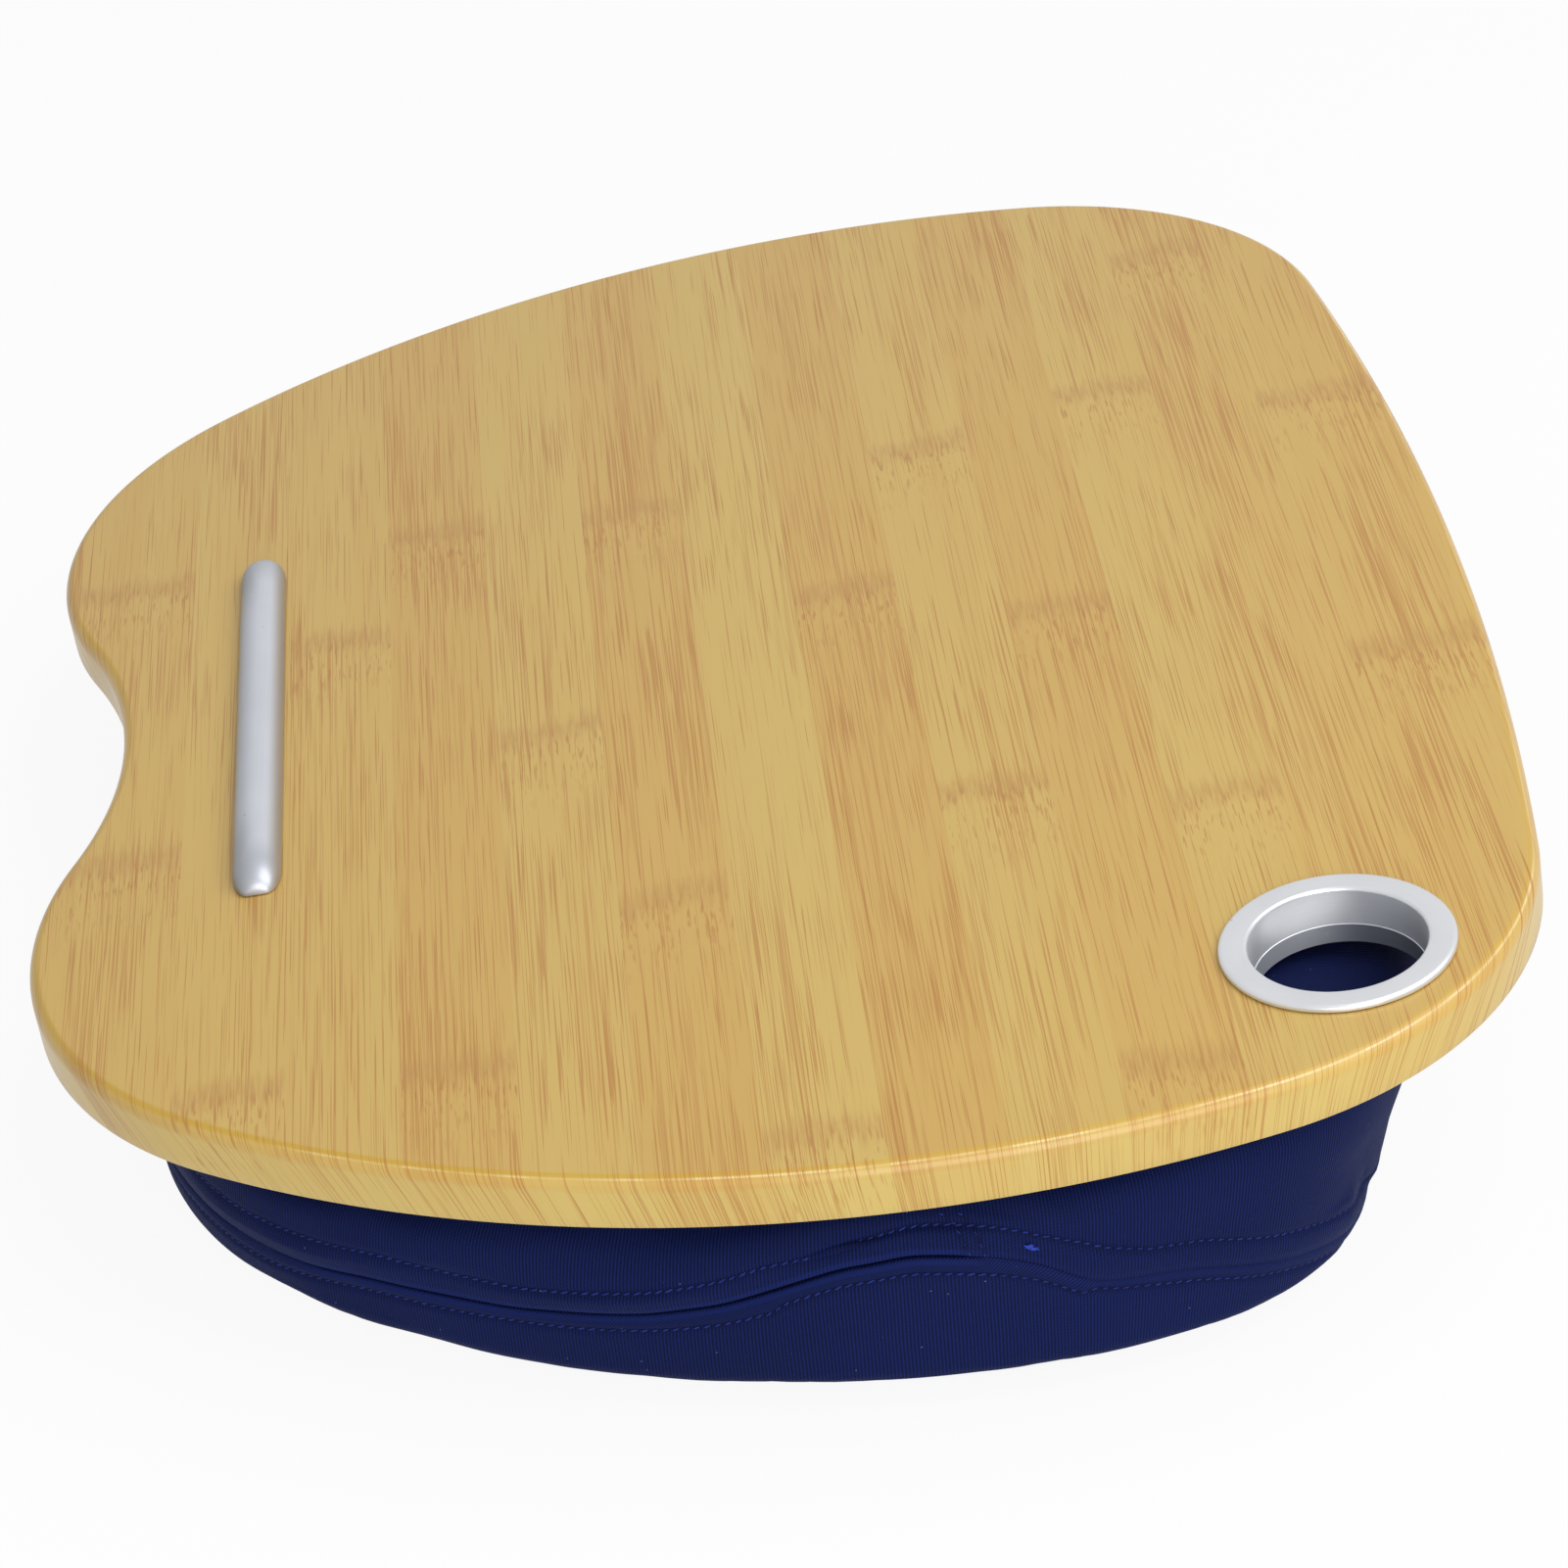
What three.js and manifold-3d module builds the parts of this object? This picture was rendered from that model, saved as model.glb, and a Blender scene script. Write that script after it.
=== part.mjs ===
// Laptop bed tray: a foil-wrapped board with a stop rail and a ring, on a zipped bead cushion.
// Millimetres, +Z up. +X is the user's right, +Y points away from the user.
import * as THREE from 'three';
import { mergeVertices } from 'three/addons/utils/BufferGeometryUtils.js';
import Module from 'manifold-3d';

const wasm = await Module();
wasm.setup();

const radians = THREE.MathUtils.degToRad;

// Fit between pieces
const FIT_GAP = 0.3;

// Board: outline as tangent arcs from the middle of the back edge round to the front notch
const BOARD_BACK_Y = 163;
const BOARD_ARCS = [
  { name: 'back', radius: 1165, sweep: 6.9 },
  { name: 'corner', radius: 87, sweep: 70.6 },
  { name: 'side', radius: 272, sweep: 49.7 },
  { name: 'lobe', radius: 97, sweep: 75.7 },
];
const BOARD_THICKNESS = 12;
const BOARD_EDGE_RADIUS = 3;
const BOARD_UNDER_CHAMFER = 0.6;
const BOARD_TILT = 4;
const BOARD_HEIGHT = 55;
const FOIL_THICKNESS = 0.4;
const BOARD_CHORD_ERROR = 0.08;
const BOARD_EDGE_STEPS = 4;
const CUT_MARGIN = 5;

// Ring at the back right corner
const RING_X = 169.1;
const RING_Y = 106.2;
const RING_OUTER_RADIUS = 25;
const RING_BORE_RADIUS = 18.4;
const RING_SLEEVE_RADIUS = 21;
const RING_FLANGE_HEIGHT = 1.4;
const RING_LEDGE = 0.5;
const RING_LEDGE_HEIGHT = 5;
const RING_DRAFT = 0.45;
const RING_LIP_RADIUS = 1.3;
const RING_RIM = 0.4;
const RING_EDGE_WIDTH = 1.8;
const RING_ROUND_STEPS = 4;
const RING_SIDES = 40;

// Stop rail
const RAIL_X = 1.8;
const RAIL_Y = -123;
const RAIL_LENGTH = 154;
const RAIL_WIDTH = 11.2;
const RAIL_HEIGHT = 5.4;
const RAIL_NOSE = 8.5;
const RAIL_END_SHARE = 0.35;
const RAIL_ARC_STEPS = 10;
const RAIL_NOSE_STEPS = 5;
const SCREW_SPACING = 110;
const SCREW_RADIUS = 1.5;
const SCREW_HEAD_RADIUS = 3.4;
const SCREW_HEAD_DEPTH = 2.2;
const SCREW_BITE = 3.2;
const SCREW_POINT = 0.4;
const SCREW_SIDES = 16;

// Hook and loop strips between board and cushion
const STRIP_LENGTH = 70;
const STRIP_WIDTH = 20;
const STRIP_THICKNESS = 1.2;
const STRIP_CORNER = 3;
const STRIP_PLACES = [
  { name: 'back_left', x: -95, y: 62 },
  { name: 'back_right', x: 95, y: 62 },
  { name: 'front_left', x: -95, y: -78 },
  { name: 'front_right', x: 95, y: -78 },
];

// Cushion: outline at its widest, as tangent arcs in the same order as the board's
const CUSHION_BACK_Y = 138.3;
const CUSHION_ARCS = [
  { name: 'back', radius: 900, sweep: 9.95 },
  { name: 'corner', radius: 63, sweep: 63.5 },
  { name: 'side', radius: 214, sweep: 55.6 },
  { name: 'lobe', radius: 99, sweep: 67.7 },
];
const CUSHION_CHORD_ERROR = 0.18;
const FLOOR_ROUND_IN = 12.5;
const FLOOR_ROUND_UP = 9.5;
const TOP_ROUND_IN = 8;
const TOP_ROUND_DOWN = 9;
const ROUND_STEPS = 3;
const CROWN_IN = 38;
const CROWN_RISE = 3;
const CROWN_STEPS = 2;
const BACK_LEAN = 11;
const LEAN_START_Y = 20;
const LEAN_FULL_Y = 120;
const COVER_THICKNESS = 1.2;
const BAG_CLEARANCE_SIDE = 11.5;
const BAG_CLEARANCE_FACE = 1.5;

// Zip on the right side: an arc about the side's own centre, in a plane that rises to the back
const ZIP_TILT = 9.6;
const ZIP_CENTRE_HEIGHT = 41.5;
const ZIP_OPEN_ANGLE = -36.2;
const ZIP_PARKED_ANGLE = -3.2;
const ZIP_SLIT_HALF = 1.2;
const ZIP_SLIT_PAST_END = 4.4;
const ZIP_STOP_ANGLE = 1.9;
const TAPE_INSET = 7;
const TAPE_THICKNESS = 0.6;
const TAPE_FLAT_REACH = 4.8;
const TAPE_REACH = 6.2;
const TAPE_PAST_TEETH = 1.2;
const TOOTH_PITCH = 2.6;
const TOOTH_TIP = 0.8;
const TOOTH_DEPTH = 0.8;
const TOOTH_ROOT = 2.9;
const TOOTH_HALF_THICKNESS = 0.85;
const BAND_STEP = 2;

// Zip slider and pull
const SLIDER_LENGTH = 9;
const SLIDER_NOSE = 2.6;
const SLIDER_CORNER = 0.8;
const SLIDER_HALF_WIDTH = 4.2;
const SLIDER_PLATE = 0.9;
const SLIDER_CHANNEL_HALF = 1.2;
const SLIDER_WEDGE_HALF = 0.5;
const SLIDER_WEDGE_LENGTH = 4;
const EAR_THICKNESS = 1;
const EAR_RADIUS = 1.2;
const PIN_RADIUS = 0.6;
const PULL_LENGTH = 12;
const PULL_HALF_THICKNESS = 0.8;
const PULL_EYE_RADIUS = 0.85;
const PULL_END_RADIUS = 1.3;
const PULL_WAIST_HALF = 0.8;
const STOP_HALF_LENGTH = 1;
const STOP_HALF_THICKNESS = 1.1;

// Seam round the cover: level at the front, along the zip, then down to a gentle fall to the back
const SEAM_FRONT_Z = 17.4;
const SEAM_BACK_Z = 26.5;
const SEAM_BACK_SLOPE = 0.1;
const SEAM_DROP_LENGTH = 27;
const SEAM_REACH = 260;
const SEAM_GAP = 0.3;

// Materials: colours as they look in the photograph
const paint = (colour, roughness, metalness) =>
  new THREE.MeshStandardMaterial({ color: colour, roughness, metalness });
const BAMBOO = 0xd0a252;
const FIBREBOARD = 0x9c7a52;
const SILVER = 0xb9bcc0;
const STEEL = 0x8c8f94;
const NAVY = 0x101a52;
const NAVY_DARK = 0x0b123c;
const BLACK_NYLON = 0x17181c;
const LINEN = 0xd8d6cf;

// Outlines
/** Turns a list of radii and sweeps into placed arcs, and closes it with a notch on the centre line. */
function tangentArcs(backY, sizes) {
  const arcs = [];
  let normal = Math.PI / 2;
  let point = new THREE.Vector2(0, backY);
  for (const { name, radius, sweep } of sizes) {
    const outward = new THREE.Vector2(Math.cos(normal), Math.sin(normal));
    const centre = point.clone().addScaledVector(outward, -radius);
    arcs.push({ name, centre, radius, from: normal, turn: -radians(sweep), side: 1 });
    normal -= radians(sweep);
    point = new THREE.Vector2(Math.cos(normal), Math.sin(normal)).multiplyScalar(radius).add(centre);
  }
  const notchTurn = -Math.PI / 2 - normal;
  const radius = point.x / Math.sin(notchTurn);
  const outward = new THREE.Vector2(Math.cos(normal), Math.sin(normal));
  const centre = point.clone().addScaledVector(outward, radius);
  arcs.push({ name: 'notch', centre, radius, from: normal + Math.PI, turn: notchTurn, side: -1 });
  return arcs;
}

/** Samples the whole outline, drawn in by an inset, as points that run anticlockwise. */
function outline(arcs, inset, chordError) {
  const half = [];
  for (const { centre, radius, from, turn, side } of arcs) {
    const count = Math.ceil(Math.abs(turn) / (2 * Math.acos(1 - chordError / radius)));
    const drawn = radius - side * inset;
    for (let i = 0; i < count; i += 1) {
      const angle = from + (turn * i) / count;
      half.push(new THREE.Vector2(Math.cos(angle), Math.sin(angle)).multiplyScalar(drawn).add(centre));
    }
  }
  const notch = arcs[arcs.length - 1];
  half.push(new THREE.Vector2(0, notch.centre.y + notch.radius + inset));
  const mirrored = half.slice(1, -1).map((p) => new THREE.Vector2(-p.x, p.y));
  return [...mirrored, ...half.reverse()];
}

// Solids
/** Builds a closed solid through matching rings of points, each running anticlockwise from above. */
function loft(rings) {
  const count = rings[0].length;
  const positions = rings.flat().flatMap((p) => [p.x, p.y, p.z]);
  const index = [];
  for (let k = 0; k + 1 < rings.length; k += 1) {
    for (let i = 0; i < count; i += 1) {
      const a = k * count + i;
      const b = k * count + ((i + 1) % count);
      index.push(a, b, b + count, a, b + count, a + count);
    }
  }
  const flat = (ring) => ring.map((p) => new THREE.Vector2(p.x, p.y));
  const last = (rings.length - 1) * count;
  for (const [a, b, c] of THREE.ShapeUtils.triangulateShape(flat(rings[0]), [])) {
    index.push(a, c, b);
  }
  for (const [a, b, c] of THREE.ShapeUtils.triangulateShape(flat(rings[rings.length - 1]), [])) {
    index.push(last + a, last + b, last + c);
  }
  return indexed(positions, index);
}

/** Makes a geometry of positions and triangle corners. */
function indexed(positions, index) {
  const geometry = new THREE.BufferGeometry();
  geometry.setAttribute('position', new THREE.Float32BufferAttribute(positions, 3));
  geometry.setIndex(index);
  geometry.computeVertexNormals();
  return geometry;
}

/** Sweeps a section round the Z axis; each station has an angle and [radius, z] corners, anticlockwise. */
function band(stations) {
  const positions = [];
  const index = [];
  const count = stations[0].corners.length;
  for (const { angle, corners } of stations) {
    for (const [radius, z] of corners) {
      positions.push(radius * Math.cos(angle), radius * Math.sin(angle), z);
    }
  }
  for (let k = 0; k + 1 < stations.length; k += 1) {
    for (let i = 0; i < count; i += 1) {
      const a = count * k + i;
      const b = count * k + ((i + 1) % count);
      index.push(a, b + count, b, a, a + count, b + count);
    }
  }
  const flat = stations[0].corners.map(([radius, z]) => new THREE.Vector2(radius, z));
  const end = count * (stations.length - 1);
  for (const [a, b, c] of THREE.ShapeUtils.triangulateShape(flat, [])) {
    index.push(a, b, c, end + a, end + c, end + b);
  }
  return indexed(positions, index);
}

/** A band between two angles in degrees, whose corners are worked out at each angle. */
function steadyBand(cornersAt, fromAngle, toAngle) {
  const steps = Math.round((toAngle - fromAngle) / BAND_STEP);
  const stations = [];
  for (let i = 0; i <= steps; i += 1) {
    const angle = radians(THREE.MathUtils.lerp(fromAngle, toAngle, i / steps));
    stations.push({ angle, corners: cornersAt(angle) });
  }
  return band(stations);
}

/** The corners of a plain rectangular section. */
function rectangle(innerRadius, outerRadius, lowZ, highZ) {
  return [[innerRadius, lowZ], [outerRadius, lowZ], [outerRadius, highZ], [innerRadius, highZ]];
}

/** Hands a geometry to the boolean library. */
function solid(geometry) {
  const bare = geometry.clone();
  bare.deleteAttribute('normal');
  bare.deleteAttribute('uv');
  const merged = mergeVertices(bare, 1e-4);
  const vertProperties = new Float32Array(merged.attributes.position.array);
  const triVerts = new Uint32Array(merged.index.array);
  return new wasm.Manifold(new wasm.Mesh({ numProp: 3, vertProperties, triVerts }));
}

/** Brings a boolean result back as a geometry. */
function geometryOf(body) {
  const mesh = body.getMesh();
  return indexed(Array.from(mesh.vertProperties), Array.from(mesh.triVerts));
}

/** An upright cylinder from one height to another. */
function post(radius, lowZ, highZ, x, y, sides) {
  const geometry = new THREE.CylinderGeometry(radius, radius, highZ - lowZ, sides);
  geometry.rotateX(Math.PI / 2);
  geometry.translate(x, y, (lowZ + highZ) / 2);
  return geometry;
}

/** A box given by its low and high corners. */
function block(low, high) {
  const geometry = new THREE.BoxGeometry(high[0] - low[0], high[1] - low[1], high[2] - low[2]);
  geometry.translate((low[0] + high[0]) / 2, (low[1] + high[1]) / 2, (low[2] + high[2]) / 2);
  return geometry;
}

/** A revolved piece from [radius, z] corners of a profile that closes on itself or on the axis. */
function revolved(profile, sides) {
  const geometry = new THREE.LatheGeometry(profile.map(([r, z]) => new THREE.Vector2(r, z)), sides);
  geometry.rotateX(Math.PI / 2);
  return geometry;
}

/** A named mesh with its own material. */
function piece(name, geometry, material) {
  const mesh = new THREE.Mesh(geometry, material);
  mesh.name = name;
  return mesh;
}

// Board
const boardArcs = tangentArcs(BOARD_BACK_Y, BOARD_ARCS);

/** The board's solid drawn in by an inset on its top and side, from a given low height. */
function boardBody(inset, lowZ, chamfer) {
  const ring = (more, z) =>
    outline(boardArcs, inset + more, BOARD_CHORD_ERROR).map((p) => new THREE.Vector3(p.x, p.y, z));
  const rounding = BOARD_EDGE_RADIUS - inset;
  const shoulder = BOARD_THICKNESS - BOARD_EDGE_RADIUS;
  const rings = [ring(chamfer, lowZ), ring(0, lowZ + Math.max(chamfer, FIT_GAP))];
  for (let i = 0; i <= BOARD_EDGE_STEPS; i += 1) {
    const angle = (Math.PI / 2) * (i / BOARD_EDGE_STEPS);
    rings.push(ring(rounding * (1 - Math.cos(angle)), shoulder + rounding * Math.sin(angle)));
  }
  return solid(loft(rings));
}

const screwPlaces = [RAIL_X - SCREW_SPACING / 2, RAIL_X + SCREW_SPACING / 2];
const holeRadius = RING_SLEEVE_RADIUS + FIT_GAP;
const cutTop = BOARD_THICKNESS + CUT_MARGIN;
const holeTool = () => solid(post(holeRadius, -CUT_MARGIN, cutTop, RING_X, RING_Y, RING_SIDES));

/** The clearance hole and countersink for one rail screw. */
function screwTool(x) {
  const shank = SCREW_RADIUS + FIT_GAP;
  const head = SCREW_HEAD_RADIUS + FIT_GAP;
  const profile = [[0, -CUT_MARGIN], [head, -CUT_MARGIN], [head, FIT_GAP]];
  profile.push([shank, SCREW_HEAD_DEPTH + 2 * FIT_GAP], [shank, cutTop], [0, cutTop]);
  const geometry = revolved(profile, SCREW_SIDES);
  geometry.translate(x, RAIL_Y, 0);
  return solid(geometry);
}

/** The fibreboard core, with the ring's hole and the rail's screw holes. */
function boardCore() {
  const inset = FOIL_THICKNESS + FIT_GAP;
  let body = boardBody(inset, 0, BOARD_UNDER_CHAMFER).subtract(holeTool());
  for (const x of screwPlaces) {
    body = body.subtract(screwTool(x));
  }
  return geometryOf(body);
}

/** The printed foil: a thin skin over the top, the rounded edge and the side wall. */
function bambooFoil() {
  let body = boardBody(0, 0, 0).subtract(boardBody(FOIL_THICKNESS, -CUT_MARGIN, 0)).subtract(holeTool());
  for (const x of screwPlaces) {
    body = body.subtract(screwTool(x));
  }
  return geometryOf(body);
}

/** The flanged ring: bevelled flange on the board, sleeve through the hole, ledge part way down the bore. */
function grommetRing() {
  const seat = BOARD_THICKNESS + FIT_GAP;
  const top = seat + RING_FLANGE_HEIGHT;
  const ledge = RING_LEDGE_HEIGHT;
  const foot = FIT_GAP;
  const bore = RING_BORE_RADIUS;
  const profile = [
    [bore - RING_LEDGE, ledge],
    [bore - RING_LEDGE + RING_DRAFT, foot],
    [RING_SLEEVE_RADIUS - RING_LEDGE, foot],
    [RING_SLEEVE_RADIUS, foot + RING_LEDGE],
    [RING_SLEEVE_RADIUS, seat],
    [RING_OUTER_RADIUS, seat],
  ];
  const lip = bore + RING_DRAFT + RING_LIP_RADIUS;
  for (let i = 0; i <= RING_ROUND_STEPS; i += 1) {
    const angle = (Math.PI / 2) * (i / RING_ROUND_STEPS);
    const inward = RING_EDGE_WIDTH * (1 - Math.cos(angle));
    const upward = (RING_FLANGE_HEIGHT - RING_RIM) * Math.sin(angle);
    profile.push([RING_OUTER_RADIUS - inward, seat + RING_RIM + upward]);
  }
  for (let i = 0; i <= RING_ROUND_STEPS; i += 1) {
    const angle = (Math.PI / 2) * (i / RING_ROUND_STEPS);
    profile.push([lip - RING_LIP_RADIUS * Math.sin(angle), top - RING_LIP_RADIUS * (1 - Math.cos(angle))]);
  }
  profile.push([bore, ledge]);
  const geometry = revolved([...profile, profile[0]], RING_SIDES);
  geometry.translate(RING_X, RING_Y, 0);
  return geometry;
}

/** The half-round rail, with its ends rounded off in plan and in height, and two pilot holes below. */
function stopRail() {
  const seat = BOARD_THICKNESS + FIT_GAP;
  const half = RAIL_LENGTH / 2;
  const places = [];
  for (let i = 1; i <= RAIL_NOSE_STEPS; i += 1) {
    const angle = (Math.PI / 2) * (i / RAIL_NOSE_STEPS);
    places.push({ x: half - RAIL_NOSE * (1 - Math.cos(angle)), scale: Math.sin(angle) });
  }
  const rows = [...places.map(({ x, scale }) => ({ x: -x, scale })), ...places.reverse()];
  const positions = [];
  for (const { x, scale } of rows) {
    for (let i = 0; i <= RAIL_ARC_STEPS; i += 1) {
      const angle = Math.PI * (i / RAIL_ARC_STEPS);
      const width = RAIL_WIDTH * THREE.MathUtils.lerp(RAIL_END_SHARE, 1, scale);
      const across = (width / 2) * Math.cos(angle);
      positions.push(RAIL_X + x, RAIL_Y + across, seat + RAIL_HEIGHT * scale * Math.sin(angle));
    }
  }
  const count = RAIL_ARC_STEPS + 1;
  const index = [];
  for (let k = 0; k + 1 < rows.length; k += 1) {
    for (let i = 0; i < count; i += 1) {
      const a = k * count + i;
      const b = k * count + ((i + 1) % count);
      index.push(a, b, b + count, a, b + count, a + count);
    }
  }
  const end = (rows.length - 1) * count;
  for (let i = 1; i + 1 < count; i += 1) {
    index.push(0, i + 1, i, end, end + i, end + i + 1);
  }
  let body = solid(indexed(positions, index));
  for (const x of screwPlaces) {
    const depth = seat + SCREW_BITE + FIT_GAP;
    const pilot = post(SCREW_RADIUS + FIT_GAP, seat - CUT_MARGIN, depth, x, RAIL_Y, SCREW_SIDES);
    body = body.subtract(solid(pilot));
  }
  return geometryOf(body);
}

/** A countersunk screw from under the board into the rail. */
function railScrew(x) {
  const tip = BOARD_THICKNESS + FIT_GAP + SCREW_BITE;
  const profile = [[0, FIT_GAP], [SCREW_HEAD_RADIUS, FIT_GAP], [SCREW_HEAD_RADIUS, 2 * FIT_GAP]];
  profile.push([SCREW_RADIUS, SCREW_HEAD_DEPTH + FIT_GAP], [SCREW_RADIUS, tip - SCREW_RADIUS]);
  profile.push([SCREW_POINT, tip], [0, tip]);
  const geometry = revolved(profile, SCREW_SIDES);
  geometry.translate(x, RAIL_Y, 0);
  return geometry;
}

/** A flat strip with rounded corners, lying between two heights. */
function strip(x, y, lowZ) {
  const halfX = STRIP_LENGTH / 2;
  const halfY = STRIP_WIDTH / 2;
  const shape = new THREE.Shape();
  shape.moveTo(-halfX + STRIP_CORNER, -halfY);
  shape.lineTo(halfX - STRIP_CORNER, -halfY);
  shape.quadraticCurveTo(halfX, -halfY, halfX, -halfY + STRIP_CORNER);
  shape.lineTo(halfX, halfY - STRIP_CORNER);
  shape.quadraticCurveTo(halfX, halfY, halfX - STRIP_CORNER, halfY);
  shape.lineTo(-halfX + STRIP_CORNER, halfY);
  shape.quadraticCurveTo(-halfX, halfY, -halfX, halfY - STRIP_CORNER);
  shape.lineTo(-halfX, -halfY + STRIP_CORNER);
  shape.quadraticCurveTo(-halfX, -halfY, -halfX + STRIP_CORNER, -halfY);
  const geometry = new THREE.ExtrudeGeometry(shape, {
    depth: STRIP_THICKNESS,
    bevelEnabled: false,
    curveSegments: 3,
  });
  geometry.translate(x, y, lowZ);
  return geometry;
}

// Cushion
const cushionArcs = tangentArcs(CUSHION_BACK_Y, CUSHION_ARCS);
const tilt = radians(BOARD_TILT);
const hookLow = -FIT_GAP - STRIP_THICKNESS;
const loopLow = hookLow - FIT_GAP - STRIP_THICKNESS;
const cushionTop = loopLow - FIT_GAP;

/** Height of the cushion's crown under the tilted board. */
function crownHeight(y) {
  return BOARD_HEIGHT + y * Math.tan(tilt) + cushionTop / Math.cos(tilt);
}

/** The padded body: rounded at floor and board, crowned on both faces, leaning in at the back. */
function cushionBody(drawIn, thinFace) {
  const rings = [];
  const ring = (inset, height) => {
    const points = outline(cushionArcs, inset + drawIn, CUSHION_CHORD_ERROR);
    rings.push(points.map(({ x, y }) => {
      const z = height(y);
      const low = THREE.MathUtils.clamp(1 - z / crownHeight(y), 0, 1);
      const lean = BACK_LEAN * low * THREE.MathUtils.smoothstep(y, LEAN_START_Y, LEAN_FULL_Y);
      return new THREE.Vector3(x, y - lean, z);
    }));
  };
  for (let i = CROWN_STEPS; i > 0; i -= 1) {
    const share = i / CROWN_STEPS;
    const rise = CROWN_RISE * (1 - share) ** 2;
    ring(FLOOR_ROUND_IN + (CROWN_IN - FLOOR_ROUND_IN) * share, () => rise + thinFace);
  }
  for (let i = 0; i <= ROUND_STEPS; i += 1) {
    const angle = (Math.PI / 2) * (i / ROUND_STEPS);
    const low = CROWN_RISE + thinFace;
    const up = low + (FLOOR_ROUND_UP - low) * (1 - Math.cos(angle));
    ring(FLOOR_ROUND_IN * (1 - Math.sin(angle)), () => up);
  }
  for (let i = 0; i <= ROUND_STEPS; i += 1) {
    const angle = (Math.PI / 2) * (i / ROUND_STEPS);
    const low = CROWN_RISE + thinFace;
    const down = low + (TOP_ROUND_DOWN - low + CROWN_RISE) * (1 - Math.sin(angle));
    ring(TOP_ROUND_IN * (1 - Math.cos(angle)), (y) => crownHeight(y) - down);
  }
  for (let i = 1; i <= CROWN_STEPS; i += 1) {
    const share = i / CROWN_STEPS;
    const drop = CROWN_RISE * (1 - share) ** 2;
    ring(TOP_ROUND_IN + (CROWN_IN - TOP_ROUND_IN) * share, (y) => crownHeight(y) - drop - thinFace);
  }
  return solid(loft(rings));
}

// Zip frame: its Z axis is the axis that the slider turns about
const sideArc = cushionArcs.find(({ name }) => name === 'side');
const zipFrame = new THREE.Group();
zipFrame.position.set(sideArc.centre.x, sideArc.centre.y, ZIP_CENTRE_HEIGHT);
zipFrame.rotation.x = radians(ZIP_TILT);
zipFrame.updateMatrix();

/** Everything above the seam line, shifted by an offset, as a block that spans the cushion. */
function aboveSeam(offset) {
  const slope = Math.tan(radians(ZIP_TILT));
  const centreY = sideArc.centre.y;
  const endAngle = radians(ZIP_PARKED_ANGLE + ZIP_SLIT_PAST_END);
  const endY = centreY + sideArc.radius * Math.sin(endAngle);
  const lineZ = (y) => ZIP_CENTRE_HEIGHT + (y - centreY) * slope + offset;
  const dropY = endY + SEAM_DROP_LENGTH;
  const easing = SEAM_DROP_LENGTH / 2;
  const frontZ = SEAM_FRONT_Z + offset;
  const frontY = centreY + (SEAM_FRONT_Z - ZIP_CENTRE_HEIGHT) / slope;
  const backZ = (y) => SEAM_BACK_Z - (y - dropY) * SEAM_BACK_SLOPE + offset;
  const shape = new THREE.Shape();
  shape.moveTo(-SEAM_REACH, frontZ);
  shape.lineTo(frontY, frontZ);
  shape.lineTo(endY, lineZ(endY));
  const leave = new THREE.Vector2(endY + easing, lineZ(endY + easing));
  const arrive = new THREE.Vector2(dropY - easing, backZ(dropY - easing));
  shape.bezierCurveTo(leave.x, leave.y, arrive.x, arrive.y, dropY, backZ(dropY));
  shape.lineTo(SEAM_REACH, backZ(SEAM_REACH));
  shape.lineTo(SEAM_REACH, SEAM_REACH);
  shape.lineTo(-SEAM_REACH, SEAM_REACH);
  const geometry = new THREE.ExtrudeGeometry(shape, {
    depth: 2 * SEAM_REACH,
    bevelEnabled: false,
    curveSegments: 8,
  });
  const alongX = new THREE.Matrix4().makeBasis(
    new THREE.Vector3(0, 1, 0),
    new THREE.Vector3(0, 0, 1),
    new THREE.Vector3(1, 0, 0),
  );
  geometry.applyMatrix4(alongX);
  geometry.translate(-SEAM_REACH, 0, 0);
  return solid(geometry);
}

/** The slit that the zip's pull swings out of. */
function slitTool() {
  const inner = sideArc.radius - TAPE_INSET;
  const outer = sideArc.radius + TAPE_INSET;
  const corners = rectangle(inner, outer, -ZIP_SLIT_HALF, ZIP_SLIT_HALF);
  const from = ZIP_OPEN_ANGLE - ZIP_STOP_ANGLE;
  const slit = steadyBand(() => corners, from, ZIP_PARKED_ANGLE + ZIP_SLIT_PAST_END);
  slit.applyMatrix4(zipFrame.matrix);
  return solid(slit);
}

/** The cover, cut into its upper and lower parts along the seam and the zip. */
function coverPanels() {
  const inside = cushionBody(COVER_THICKNESS, COVER_THICKNESS);
  const shell = cushionBody(0, 0).subtract(inside).subtract(slitTool());
  const upper = shell.intersect(aboveSeam(SEAM_GAP / 2));
  const lower = shell.subtract(aboveSeam(-SEAM_GAP / 2));
  return { upper: geometryOf(upper), lower: geometryOf(lower) };
}

// Zip
const tapeRadius = sideArc.radius - TAPE_INSET;
const zipStart = ZIP_OPEN_ANGLE - ZIP_STOP_ANGLE;
const zipEnd = ZIP_PARKED_ANGLE + ZIP_STOP_ANGLE;
const tapeEdge = TOOTH_ROOT + FIT_GAP;
const stopShift = THREE.MathUtils.radToDeg((STOP_HALF_LENGTH + FIT_GAP) / tapeRadius);

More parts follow.
